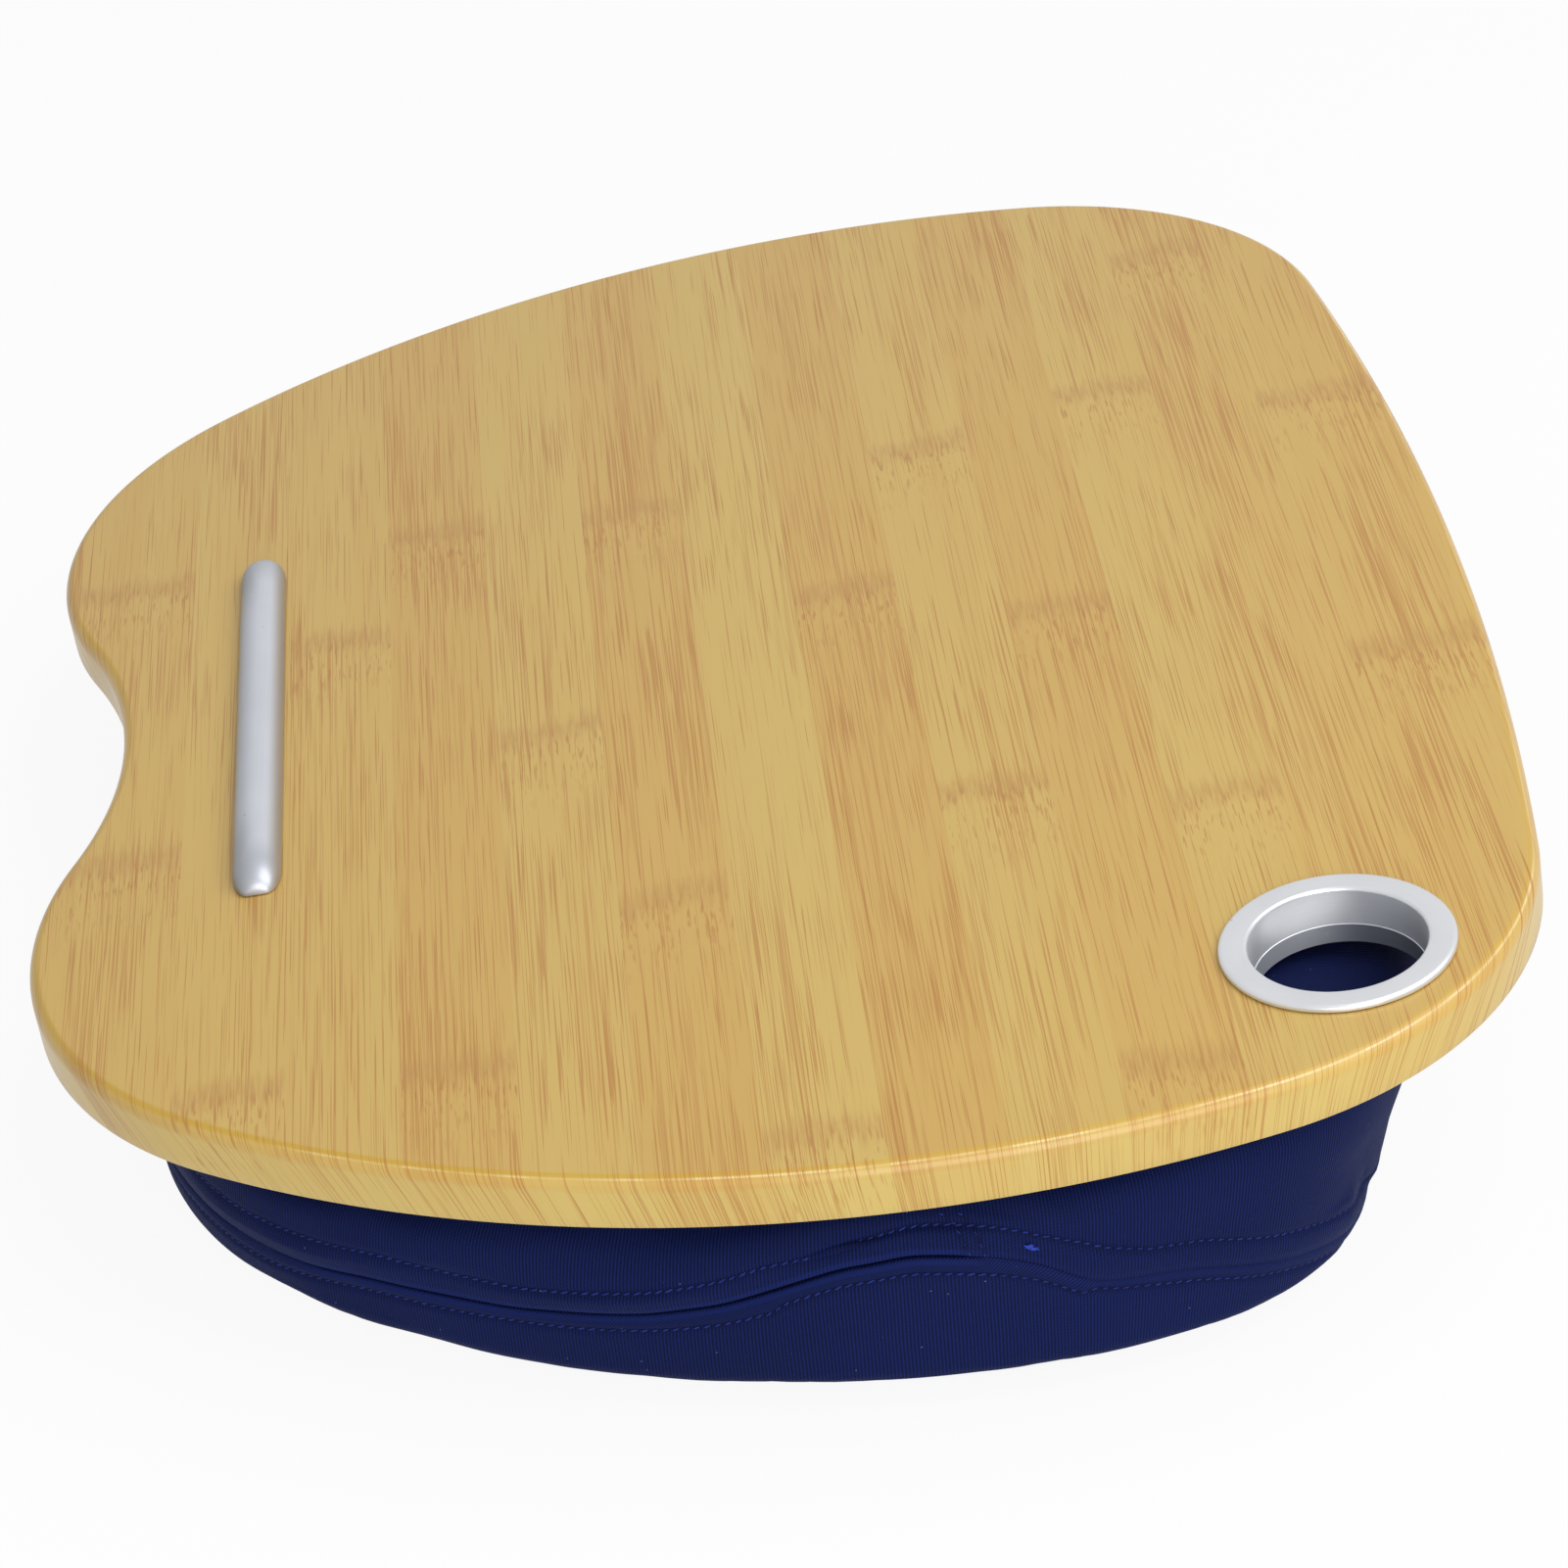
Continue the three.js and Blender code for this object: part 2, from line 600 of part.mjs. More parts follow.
/** Distance from the zip's axis to the inside of the cover, at an angle and height in the zip's frame. */
function wallRadius(angle, height) {
  const upright = sideArc.radius / Math.hypot(Math.cos(angle), Math.sin(angle) * Math.cos(radians(ZIP_TILT)));
  const place = new THREE.Vector3(upright * Math.cos(angle), upright * Math.sin(angle), height);
  place.applyMatrix4(zipFrame.matrix);
  const down = crownHeight(place.y) - place.z;
  const above = (TOP_ROUND_DOWN + CROWN_RISE - down) / (TOP_ROUND_DOWN - COVER_THICKNESS);
  const share = THREE.MathUtils.clamp(above, 0, 1);
  return upright - COVER_THICKNESS - TOP_ROUND_IN * (1 - Math.sqrt(1 - share * share));
}

/** One tape: a curved ribbon that runs flat past the slider's flange, then slants out to the cover. */
function zipTape(sign) {
  const half = TAPE_THICKNESS / 2;
  const cornersAt = (angle) => {
    const sewn = wallRadius(angle, sign * TAPE_REACH) - 3 * FIT_GAP - half;
    const path = [[tapeRadius, tapeEdge], [tapeRadius, TAPE_FLAT_REACH], [sewn, TAPE_REACH]];
    const outside = path.map(([radius, z]) => [radius + half, sign * z]);
    const inside = path.map(([radius, z]) => [radius - half, sign * z]).reverse();
    return sign > 0 ? [...outside, ...inside] : [...outside, ...inside].reverse();
  };
  return steadyBand(cornersAt, zipStart - TAPE_PAST_TEETH, zipEnd + TAPE_PAST_TEETH);
}

/** One row of teeth: a strip whose edge rises and falls once for each tooth. */
function zipTeeth(sign) {
  const length = radians(zipEnd - zipStart) * tapeRadius;
  const count = Math.round(length / TOOTH_PITCH);
  const inner = tapeRadius - TOOTH_HALF_THICKNESS;
  const outer = tapeRadius + TOOTH_HALF_THICKNESS;
  const stations = [];
  for (let i = 0; i <= 2 * count; i += 1) {
    const angle = radians(THREE.MathUtils.lerp(zipStart, zipEnd, i / (2 * count)));
    const tall = (i + (sign > 0 ? 0 : 1)) % 2 === 0;
    const tip = sign * (TOOTH_TIP + (tall ? 0 : TOOTH_DEPTH));
    const root = sign * TOOTH_ROOT;
    stations.push({ angle, corners: rectangle(inner, outer, Math.min(tip, root), Math.max(tip, root)) });
  }
  return band(stations);
}

/** A crimped stop over the end of one row, or across both rows. */
function zipStop(lowZ, highZ, angle) {
  const half = STOP_HALF_LENGTH;
  const depth = STOP_HALF_THICKNESS;
  const geometry = block([tapeRadius - depth, -half, lowZ], [tapeRadius + depth, half, highZ]);
  geometry.rotateZ(radians(angle));
  return geometry;
}

/** The slider's plan, narrowing to its nose, as a plate between two radii. */
function sliderPlate(low, high) {
  const half = SLIDER_LENGTH / 2;
  const wide = SLIDER_HALF_WIDTH;
  const shape = new THREE.Shape();
  const narrow = wide - SLIDER_NOSE / 2;
  shape.moveTo(-half, -wide + SLIDER_CORNER);
  shape.quadraticCurveTo(-half, -wide, -half + SLIDER_CORNER, -wide);
  shape.lineTo(half - SLIDER_NOSE, -wide);
  shape.quadraticCurveTo(half, -wide, half, -narrow);
  shape.lineTo(half, narrow);
  shape.quadraticCurveTo(half, wide, half - SLIDER_NOSE, wide);
  shape.lineTo(-half + SLIDER_CORNER, wide);
  shape.quadraticCurveTo(-half, wide, -half, wide - SLIDER_CORNER);
  shape.closePath();
  const geometry = new THREE.ExtrudeGeometry(shape, {
    depth: high - low,
    bevelEnabled: false,
    curveSegments: 3,
  });
  const outward = new THREE.Matrix4().makeBasis(
    new THREE.Vector3(0, 1, 0),
    new THREE.Vector3(0, 0, 1),
    new THREE.Vector3(1, 0, 0),
  );
  geometry.applyMatrix4(outward);
  geometry.translate(low, 0, 0);
  return solid(geometry);
}

const channel = SLIDER_CHANNEL_HALF;
const frontFace = tapeRadius + channel + SLIDER_PLATE;
const pivotRadius = frontFace + EAR_RADIUS + FIT_GAP;

/** The slider: two plates, the wedge between them, edge flanges that leave room for tape, and two ears. */
function zipSlider() {
  const front = sliderPlate(tapeRadius + channel, frontFace);
  const back = sliderPlate(tapeRadius - channel - SLIDER_PLATE, tapeRadius - channel);
  const wedgeFrom = SLIDER_LENGTH / 2 - SLIDER_WEDGE_LENGTH;
  const wedge = block(
    [tapeRadius - channel - SLIDER_PLATE / 2, wedgeFrom, -SLIDER_WEDGE_HALF],
    [tapeRadius + channel + SLIDER_PLATE / 2, SLIDER_LENGTH / 2 - FIT_GAP, SLIDER_WEDGE_HALF],
  );
  let body = front.add(back).add(solid(wedge));
  const room = TAPE_THICKNESS / 2 + FIT_GAP;
  const flangeLow = tapeEdge;
  const flangeHalf = SLIDER_LENGTH / 2 - SLIDER_NOSE;
  for (const sign of [-1, 1]) {
    const zs = [sign * flangeLow, sign * SLIDER_HALF_WIDTH].sort((a, b) => a - b);
    const outer = block(
      [tapeRadius + room, -flangeHalf, zs[0]],
      [tapeRadius + channel + SLIDER_PLATE / 2, flangeHalf, zs[1]],
    );
    const inner = block(
      [tapeRadius - channel - SLIDER_PLATE / 2, -flangeHalf, zs[0]],
      [tapeRadius - room, flangeHalf, zs[1]],
    );
    body = body.add(solid(outer)).add(solid(inner));
    const near = sign * (PULL_HALF_THICKNESS + FIT_GAP);
    const ends = [near, near + sign * EAR_THICKNESS].sort((a, b) => a - b);
    const ear = post(EAR_RADIUS, ends[0], ends[1], pivotRadius, 0, SCREW_SIDES);
    const foot = block([frontFace - FIT_GAP, -EAR_RADIUS, ends[0]], [pivotRadius, EAR_RADIUS, ends[1]]);
    body = body.add(solid(ear)).add(solid(foot));
  }
  const pinEnd = PULL_HALF_THICKNESS + FIT_GAP + EAR_THICKNESS / 2;
  body = body.add(solid(post(PIN_RADIUS, -pinEnd, pinEnd, pivotRadius, 0, SCREW_SIDES)));
  return geometryOf(body);
}

/** The pull: a slim tab with an eye on the slider's pin, lying along the zip. */
function zipPull() {
  const shape = new THREE.Shape();
  const end = PULL_END_RADIUS;
  shape.absarc(0, 0, EAR_RADIUS, -Math.PI, 0, false);
  shape.lineTo(PULL_WAIST_HALF, PULL_LENGTH / 2);
  shape.lineTo(end, PULL_LENGTH - end);
  shape.absarc(0, PULL_LENGTH - end, end, 0, Math.PI, false);
  shape.lineTo(-PULL_WAIST_HALF, PULL_LENGTH / 2);
  shape.closePath();
  const hole = new THREE.Path();
  hole.absarc(0, 0, PULL_EYE_RADIUS, 0, 2 * Math.PI, true);
  shape.holes.push(hole);
  const geometry = new THREE.ExtrudeGeometry(shape, {
    depth: 2 * PULL_HALF_THICKNESS,
    bevelEnabled: false,
    curveSegments: 8,
  });
  geometry.translate(pivotRadius, 0, -PULL_HALF_THICKNESS);
  return geometry;
}

// Assembly
const tray = new THREE.Group();
tray.position.z = BOARD_HEIGHT;
tray.rotation.x = tilt;
tray.add(piece('board_core', boardCore(), paint(FIBREBOARD, 0.9, 0)));
tray.add(piece('bamboo_foil', bambooFoil(), paint(BAMBOO, 0.35, 0)));
tray.add(piece('grommet_ring', grommetRing(), paint(SILVER, 0.35, 0.9)));
tray.add(piece('stop_rail', stopRail(), paint(SILVER, 0.35, 0.9)));
tray.add(piece('rail_screw_left', railScrew(screwPlaces[0]), paint(STEEL, 0.4, 1)));
tray.add(piece('rail_screw_right', railScrew(screwPlaces[1]), paint(STEEL, 0.4, 1)));

const cushion = new THREE.Group();
const cover = coverPanels();
cushion.add(piece('cover_upper', cover.upper, paint(NAVY, 0.75, 0)));
cushion.add(piece('cover_lower', cover.lower, paint(NAVY, 0.75, 0)));
const bag = geometryOf(cushionBody(BAG_CLEARANCE_SIDE, BAG_CLEARANCE_FACE));
cushion.add(piece('bead_bag', bag, paint(LINEN, 0.9, 0)));

const stripSeat = new THREE.Group();
stripSeat.position.copy(tray.position);
stripSeat.rotation.copy(tray.rotation);
for (const { name, x, y } of STRIP_PLACES) {
  tray.add(piece(`hook_strip_${name}`, strip(x, y, hookLow), paint(BLACK_NYLON, 0.8, 0)));
  stripSeat.add(piece(`loop_strip_${name}`, strip(x, y, loopLow), paint(BLACK_NYLON, 0.95, 0)));
}

zipFrame.add(piece('zip_tape_upper', zipTape(1), paint(NAVY_DARK, 0.8, 0)));
zipFrame.add(piece('zip_tape_lower', zipTape(-1), paint(NAVY_DARK, 0.8, 0)));
zipFrame.add(piece('zip_teeth_upper', zipTeeth(1), paint(NAVY_DARK, 0.5, 0)));
zipFrame.add(piece('zip_teeth_lower', zipTeeth(-1), paint(NAVY_DARK, 0.5, 0)));
const topStop = zipEnd + stopShift;
const upperStop = zipStop(TOOTH_TIP, TOOTH_ROOT, topStop);
const lowerStop = zipStop(-TOOTH_ROOT, -TOOTH_TIP, topStop);
const bottomStop = zipStop(-TOOTH_ROOT, TOOTH_ROOT, zipStart - stopShift);
zipFrame.add(piece('zip_top_stop_upper', upperStop, paint(NAVY_DARK, 0.4, 0.6)));
zipFrame.add(piece('zip_top_stop_lower', lowerStop, paint(NAVY_DARK, 0.4, 0.6)));
zipFrame.add(piece('zip_bottom_stop', bottomStop, paint(NAVY_DARK, 0.4, 0.6)));
const slider = new THREE.Group();
slider.rotation.z = radians(ZIP_PARKED_ANGLE);
slider.add(piece('zip_slider', zipSlider(), paint(NAVY_DARK, 0.4, 0.4)));
slider.add(piece('zip_pull', zipPull(), paint(NAVY_DARK, 0.4, 0.4)));
zipFrame.add(slider);

const model = new THREE.Group();
model.add(tray, cushion, stripSeat, zipFrame);

// The frame's origin is on the floor, under the middle of the whole part
const bounds = new THREE.Box3().setFromObject(model, true);
const middle = bounds.getCenter(new THREE.Vector3());
model.position.set(-middle.x, -middle.y, -bounds.min.z);
export default model;
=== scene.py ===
"""Looks of a laptop bed tray: a bamboo-print board with a rail and a ring on a zipped cushion.

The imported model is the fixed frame. Each class builds and dresses one sub-assembly in that
frame. Sizes are in millimetres and become metres when a mesh is made.
"""
import logging
import math
from collections.abc import Sequence
from dataclasses import dataclass, field
from enum import Enum
from typing import Any

import bpy
import numpy as np
from mathutils import Matrix, Vector, noise
from mathutils.geometry import tessellate_polygon


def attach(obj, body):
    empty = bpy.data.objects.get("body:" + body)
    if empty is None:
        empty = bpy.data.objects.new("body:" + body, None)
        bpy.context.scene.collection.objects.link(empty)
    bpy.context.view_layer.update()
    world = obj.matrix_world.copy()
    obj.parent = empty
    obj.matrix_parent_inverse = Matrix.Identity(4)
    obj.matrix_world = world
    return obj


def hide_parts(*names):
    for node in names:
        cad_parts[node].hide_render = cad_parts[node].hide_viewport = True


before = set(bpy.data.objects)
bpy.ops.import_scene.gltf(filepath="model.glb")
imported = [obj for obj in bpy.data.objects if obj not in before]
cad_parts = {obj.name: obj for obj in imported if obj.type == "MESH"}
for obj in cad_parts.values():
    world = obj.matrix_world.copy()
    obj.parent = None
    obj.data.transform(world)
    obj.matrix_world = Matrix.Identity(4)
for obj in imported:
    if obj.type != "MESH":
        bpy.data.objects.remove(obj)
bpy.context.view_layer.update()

LOG = logging.getLogger("bed_tray")
MM = 0.001
TINY = 1e-6
FRAME_SHIFT_Y = 6.1236
BOARD_TILT = math.radians(4.0)
BOARD_HEIGHT = 55.0
# Where the board's own origin lies once the row frame is turned back by the tilt.
BOARD_LEVEL = BOARD_HEIGHT * math.cos(BOARD_TILT) - FRAME_SHIFT_Y * math.sin(BOARD_TILT)
BOARD_SHIFT_Y = FRAME_SHIFT_Y * math.cos(BOARD_TILT) + BOARD_HEIGHT * math.sin(BOARD_TILT)
# Sockets of a Mix node that blends colours.
MIX_SHARE, MIX_FIRST, MIX_SECOND, MIX_RESULT = 0, 6, 7, 2

Point = tuple[float, float]
Place = tuple[float, float, float]
Colour = tuple[float, float, float]
Piece = bpy.types.Object
Mesh = bpy.types.Mesh
Material = bpy.types.Material
Node = bpy.types.Node
Socket = bpy.types.NodeSocket


class Body(Enum):
    """The bodies of the frame that new pieces ride on."""

    CUSHION = "cushion"
    TRAY = "tray"
    PULL = "pull"


class Slot(Enum):
    """The record's material slots; no piece here takes its finish from them."""

    FOIL = "bamboo_foil"
    SILVER = "silver"
    FABRIC = "navy_fabric"
    BAG = "inner_bag"
    HOOKS = "hook_nylon"
    LOOPS = "loop_nylon"
    METAL = "zip_metal"


# Shader building


class Value:
    """A number on a node socket, with Python arithmetic that adds Math nodes."""

    def __init__(self, shader: "Shader", socket: Socket) -> None:
        """Wraps one output socket of a shader's tree."""
        self.shader = shader
        self.socket = socket

    def math(self, operation: str, *others: "Value | float") -> "Value":
        """Adds one Math node.

        Args:
            operation: The Math node's operation.
            others: The further operands.

        Returns:
            The node's result.
        """
        operands = dict(enumerate((self, *others)))
        return self.shader.value("ShaderNodeMath", operands, operation=operation)

    def reverse_math(self, operation: str, other: float) -> "Value":
        """Adds one Math node with a plain number as its first operand."""
        return self.shader.value("ShaderNodeMath", {0: other, 1: self}, operation=operation)

    def __add__(self, other: "Value | float") -> "Value":
        """Sum."""
        return self.math("ADD", other)

    __radd__ = __add__

    def __sub__(self, other: "Value | float") -> "Value":
        """Difference."""
        return self.math("SUBTRACT", other)

    def __rsub__(self, other: float) -> "Value":
        """Difference with a plain number first."""
        return self.reverse_math("SUBTRACT", other)

    def __mul__(self, other: "Value | float") -> "Value":
        """Product."""
        return self.math("MULTIPLY", other)

    __rmul__ = __mul__

    def __truediv__(self, other: "Value | float") -> "Value":
        """Quotient."""
        return self.math("DIVIDE", other)

    def __rtruediv__(self, other: float) -> "Value":
        """Quotient with a plain number first."""
        return self.reverse_math("DIVIDE", other)

    def __abs__(self) -> "Value":
        """Size without sign."""
        return self.math("ABSOLUTE")

    def floor(self) -> "Value":
        """Whole part."""
        return self.math("FLOOR")

    def fraction(self) -> "Value":
        """Part after the point."""
        return self.math("FRACT")

    def sine(self) -> "Value":
        """Sine of an angle in radians."""
        return self.math("SINE")

    def least(self, other: "Value | float") -> "Value":
        """The smaller of two values."""
        return self.math("MINIMUM", other)

    def most(self, other: "Value | float") -> "Value":
        """The larger of two values."""
        return self.math("MAXIMUM", other)

    def ramp(self, low: float, high: float, start: float = 0.0, end: float = 1.0) -> "Value":
        """Eases from start to end while the value goes from low to high.

        Args:
            low: Where the ramp begins.
            high: Where it is complete.
            start: Result before low.
            end: Result after high.

        Returns:
            The eased value.
        """
        inputs = {"Value": self, "From Min": low, "From Max": high, "To Min": start, "To Max": end}
        settings = {"interpolation_type": "SMOOTHSTEP", "clamp": True}
        return self.shader.value("ShaderNodeMapRange", inputs, **settings)


Input = Value | Socket | float | int | str | tuple[float, ...]
Inputs = dict[str | int, Input]


class Nodes:
    """A node tree that grows node by node."""

    def __init__(self, tree: bpy.types.NodeTree) -> None:
        """Takes a tree and empties it."""
        self.tree = tree
        tree.nodes.clear()

    def node(self, kind: str, inputs: Inputs | None = None, **settings: Any) -> Node:
        """Adds a node of any kind.

        Args:
            kind: The node's type name.
            inputs: A value or a link for each socket, by name or number.
            settings: The node's properties, set before its sockets.

        Returns:
            The new node.
        """
        made = self.tree.nodes.new(kind)
        for key, setting in settings.items():
            setattr(made, key, setting)
        for key, given in (inputs or {}).items():
            socket = made.inputs[key]
            source = given.socket if isinstance(given, Value) else given
            if isinstance(source, Socket):
                self.tree.links.new(source, socket)
            elif isinstance(source, tuple) and len(source) < len(socket.default_value):
                socket.default_value = (*source, 1.0)
            else:
                socket.default_value = source
        return made


class Shader(Nodes):
    """The nodes of one material or of the world."""

    def __init__(self, owner: Material | bpy.types.World) -> None:
        """Switches the owner's nodes on and empties its tree.

        Args:
            owner: The material or the world that the nodes belong to.
        """
        owner.use_nodes = True
        super().__init__(owner.node_tree)
        self.owner = owner

    def value(self, kind: str, inputs: Inputs | None = None, **settings: Any) -> Value:
        """Adds a node and wraps its first output that is switched on."""
        made = self.node(kind, inputs, **settings)
        return Value(self, next(socket for socket in made.outputs if socket.enabled))

    def parts(self, whole: Socket, kind: str = "ShaderNodeSeparateXYZ") -> tuple[Value, ...]:
        """Splits a vector or a colour into three numbers."""
        return tuple(Value(self, socket) for socket in self.node(kind, {0: whole}).outputs)

    def uv(self) -> tuple[Value, ...]:
        """The piece's own UV map, in metres, as two numbers."""
        return self.parts(self.node("ShaderNodeTexCoord").outputs["UV"])[:2]

    def place(self, turn: float = 0.0) -> tuple[Value, ...]:
        """Object coordinates in metres, turned about X, as three numbers.

        Args:
            turn: Angle about X, in radians.

        Returns:
            X, Y and Z.
        """
        coordinates = self.node("ShaderNodeTexCoord").outputs["Object"]
        turned = {"Vector": coordinates, "Rotation": (turn, 0.0, 0.0)}
        return self.parts(self.node("ShaderNodeMapping", turned).outputs[0])

    def join(self, x: Value | float, y: Value | float, z: Value | float = 0.0) -> Socket:
        """Three numbers as one vector."""
        return self.node("ShaderNodeCombineXYZ", {0: x, 1: y, 2: z}).outputs[0]

    def noise(
        self, vector: Socket, scale: float, detail: float = 2.0, rough: float = 0.5
    ) -> Value:
        """Smooth noise from 0 to 1 at a vector."""
        inputs = {"Vector": vector, "Scale": scale, "Detail": detail, "Roughness": rough}
        return self.value("ShaderNodeTexNoise", inputs, noise_dimensions="3D")

    def chance(self, number: Value) -> tuple[Value, ...]:
        """Three unrelated numbers from 0 to 1 that stay the same for the same number."""
        made = self.node("ShaderNodeTexWhiteNoise", {"W": number}, noise_dimensions="1D")
        return self.parts(made.outputs["Color"], "ShaderNodeSeparateColor")

    def steps(self, place: Value, stops: Sequence[tuple[float, Colour]]) -> tuple[Value, ...]:
        """Three numbers that change in steps along a value.

        Args:
            place: A value from 0 to 1.
            stops: Where each step begins, and its three numbers.

        Returns:
            The three numbers.
        """
        made = self.node("ShaderNodeValToRGB", {"Fac": place})
        ramp = made.color_ramp
        ramp.interpolation = "CONSTANT"
        while len(ramp.elements) < len(stops):
            ramp.elements.new(1.0)
        for element, (begin, numbers) in zip(ramp.elements, stops):
            element.position = begin
            element.color = (*numbers, 1.0)
        return self.parts(made.outputs[0], "ShaderNodeSeparateColor")

    def mix(self, share: Value, first: Any, second: Any) -> Socket:
        """Blends two colours.

        Args:
            share: How much of the second colour shows.
            first: A colour or a colour socket.
            second: A colour or a colour socket.

        Returns:
            The blended colour.
        """
        inputs = {MIX_SHARE: share, MIX_FIRST: first, MIX_SECOND: second}
        made = self.node("ShaderNodeMix", inputs, data_type="RGBA", clamp_factor=True)
        return made.outputs[MIX_RESULT]

    def bump(self, height: Value, depth: float, strength: float = 1.0) -> Socket:
        """A normal from a height from 0 to 1 that stands for a depth in millimetres."""
        inputs = {"Height": height, "Distance": depth * MM, "Strength": strength}
        return self.node("ShaderNodeBump", inputs).outputs[0]

    def end(self, kind: str, last: Node) -> Material | bpy.types.World:
        """Links the last node to an output node and hands back the owner of the tree."""
        self.node(kind, {0: last.outputs[0]})
        return self.owner

    def surface(self, **inputs: Input) -> Material:
        """Ends the tree in a Principled surface.

        Args:
            inputs: Principled sockets by name, with underscores for spaces.

        Returns:
            The finished material.
        """
        named = {key.replace("_", " "): given for key, given in inputs.items()}
        return self.end("ShaderNodeOutputMaterial", self.node("ShaderNodeBsdfPrincipled", named))


# Finishes


@dataclass(frozen=True)
class BambooFoil:
    """Satin foil printed with bamboo strips, deeper in colour where it is drawn over the edge, with
    painted reflection and a painted highlight there.
    """

    strip_width: float = 24.58
    strip_start: float = -165.3
    pale: Colour = (0.588, 0.408, 0.112)
    warm: Colour = (0.562, 0.350, 0.088)
    streak: Colour = (0.390, 0.142, 0.022)
    node: Colour = (0.440, 0.225, 0.055)
    drawn: Colour = (0.520, 0.320, 0.030)
    wall: Colour = (0.610, 0.468, 0.140)
    # Colour of a painted highlight line along the rounded edge.
    painted_glint: Colour = (0.860, 0.740, 0.400)
    reach: float = 700.0
    line_strength: float = 0.33
    fine_strength: float = 0.56
    dash_strength: float = 0.58
    node_strength: float = 0.62
    # Lines, fine lines and dashes: noise per metre along and across, seed of a strip, detail.
    fibres: tuple[tuple[float, float, float, float], ...] = (
        (13.0, 1900.0, 3.1, 1.5),
        (24.0, 2700.0, 5.3, 1.0),
        (150.0, 1500.0, 1.7, 1.0),
    )
    # For each strip: places of its two joints along it, in millimetres, and how warm it is.
    strips: tuple[tuple[float, float, float], ...] = (
        (55.0, -76.0, 0.60),
        (155.0, 300.0, 0.45),
        (-32.0, 300.0, 0.40),
        (-80.0, 161.0, 0.80),
        (28.0, 300.0, 0.30),
        (-74.0, 107.0, 0.80),
        (205.0, 300.0, 0.10),
        (-16.0, 300.0, 0.80),
        (-82.0, 84.0, 0.30),
        (9.0, 200.0, 0.75),
        (-97.0, 103.0, 0.30),
        (-170.0, 300.0, 0.55),
        (-76.0, 53.0, 0.60),
    )

    def material(self) -> Material:
        """Builds the printed foil; its UV map is the unrolled sheet in metres.

        Returns:
            The finished material.
        """
        s = Shader(bpy.data.materials.new("bamboo_foil"))
        along, across = s.uv()
        strip = (across - self.strip_start * MM) / (self.strip_width * MM)
        index = strip.floor()
        inside = strip.fraction()
        first, second, third = s.chance(index + 3.7)
        shifted = along + first * 3.0
        count = len(self.strips)
        stops = [
            (i / count, (0.5 + near / self.reach, 0.5 + far / self.reach, warm))
            for i, (near, far, warm) in enumerate(self.strips)
        ]
        near, far, warm = s.steps((index + 0.5) / count, stops)
        wobble = s.noise(s.join(along * 20.0, across * 700.0, index), 1.0, 2.0, 0.6) - 0.5
        sway = s.noise(s.join(along * 3.0, across * 60.0, index), 1.0, 0.0) - 0.5
        bands, trails = [], []
        for joint in (near, far):
            gap = along - (joint - 0.5) * (self.reach * MM) + wobble * 0.017 + sway * 0.006
            bands.append(gap.ramp(-0.0085, -0.0010) * gap.ramp(0.0015, 0.0080, 1.0, 0.0))
            trails.append(gap.ramp(-0.002, 0.003) * gap.ramp(0.004, 0.040, 1.0, 0.0))
        band, comet = bands[0].most(bands[1]), trails[0].most(trails[1])
        broad = s.noise(s.join(shifted * 4.0, across * 90.0, index), 1.0, 2.0, 0.55)
        cloud = s.noise(s.join(shifted * 9.0, across * 40.0), 1.0, 2.0)
        tone = warm + (second - 0.5) * 0.1 + (inside - 0.5) * (third - 0.5) * 0.5
        warmth = (tone + (broad - 0.5) * 0.9).ramp(-0.1, 1.05)
        colour = s.mix(warmth, self.pale, self.warm)
        lines, fine, dashes = (
            s.noise(s.join(shifted * along_scale, across * across_scale, index * seed), 1.0, detail)
            for along_scale, across_scale, seed, detail in self.fibres
        )
        crowd = cloud.ramp(0.35, 0.7) * 0.11 + warmth * 0.04
        line_mask = (lines + crowd).ramp(0.63, 0.715)
        fine_mask = (fine + crowd).ramp(0.65, 0.725)
        dash_mask = dashes.ramp(0.56, 0.68) * comet
        node_mask = band * (dashes * 0.9 + fine * 0.5).ramp(0.45, 0.90, 0.25, 0.95)
        _, depth, height = s.place(-BOARD_TILT)
        board_z = height - BOARD_LEVEL * MM
        rim = board_z.ramp(0.01201, 0.01190) * board_z.ramp(0.0111, 0.0117)
        # Painted highlight: a pale line along the rounded edge, broken up by noise and faded out
        # toward the left.
        painted_glint = board_z.ramp(0.01122, 0.01136) * board_z.ramp(0.01164, 0.01150)
        painted_glint = painted_glint * cloud.ramp(0.38, 0.62, 0.15, 0.60) * depth.ramp(-0.120, -0.085)
        colour = s.mix(board_z.ramp(0.0100, 0.0085, 0.0, 0.50), colour, self.wall)
        # The edge band: deeper colour of the foil drawn over the edge, with painted reflection that
        # makes it stronger toward the left.
        colour = s.mix(rim * depth.ramp(-0.12, 0.05, 0.80, 0.50), colour, self.drawn)
        colour = s.mix(painted_glint, colour, self.painted_glint)
        colour = s.mix(line_mask * self.line_strength, colour, self.streak)
        colour = s.mix(fine_mask * self.fine_strength, colour, self.streak)
        colour = s.mix(dash_mask * self.dash_strength, colour, self.streak)
        colour = s.mix(node_mask * self.node_strength, colour, self.node)
        peel = s.noise(s.join(along, across, height), 900.0, 1.0)
        return s.surface(
            Base_Color=colour,
            Roughness=fine * 0.08 + 0.34,
            Specular_IOR_Level=0.40,
            Coat_Weight=0.25,
            Coat_Roughness=0.16,
            Normal=s.bump(peel, 0.02, 0.2),
        )


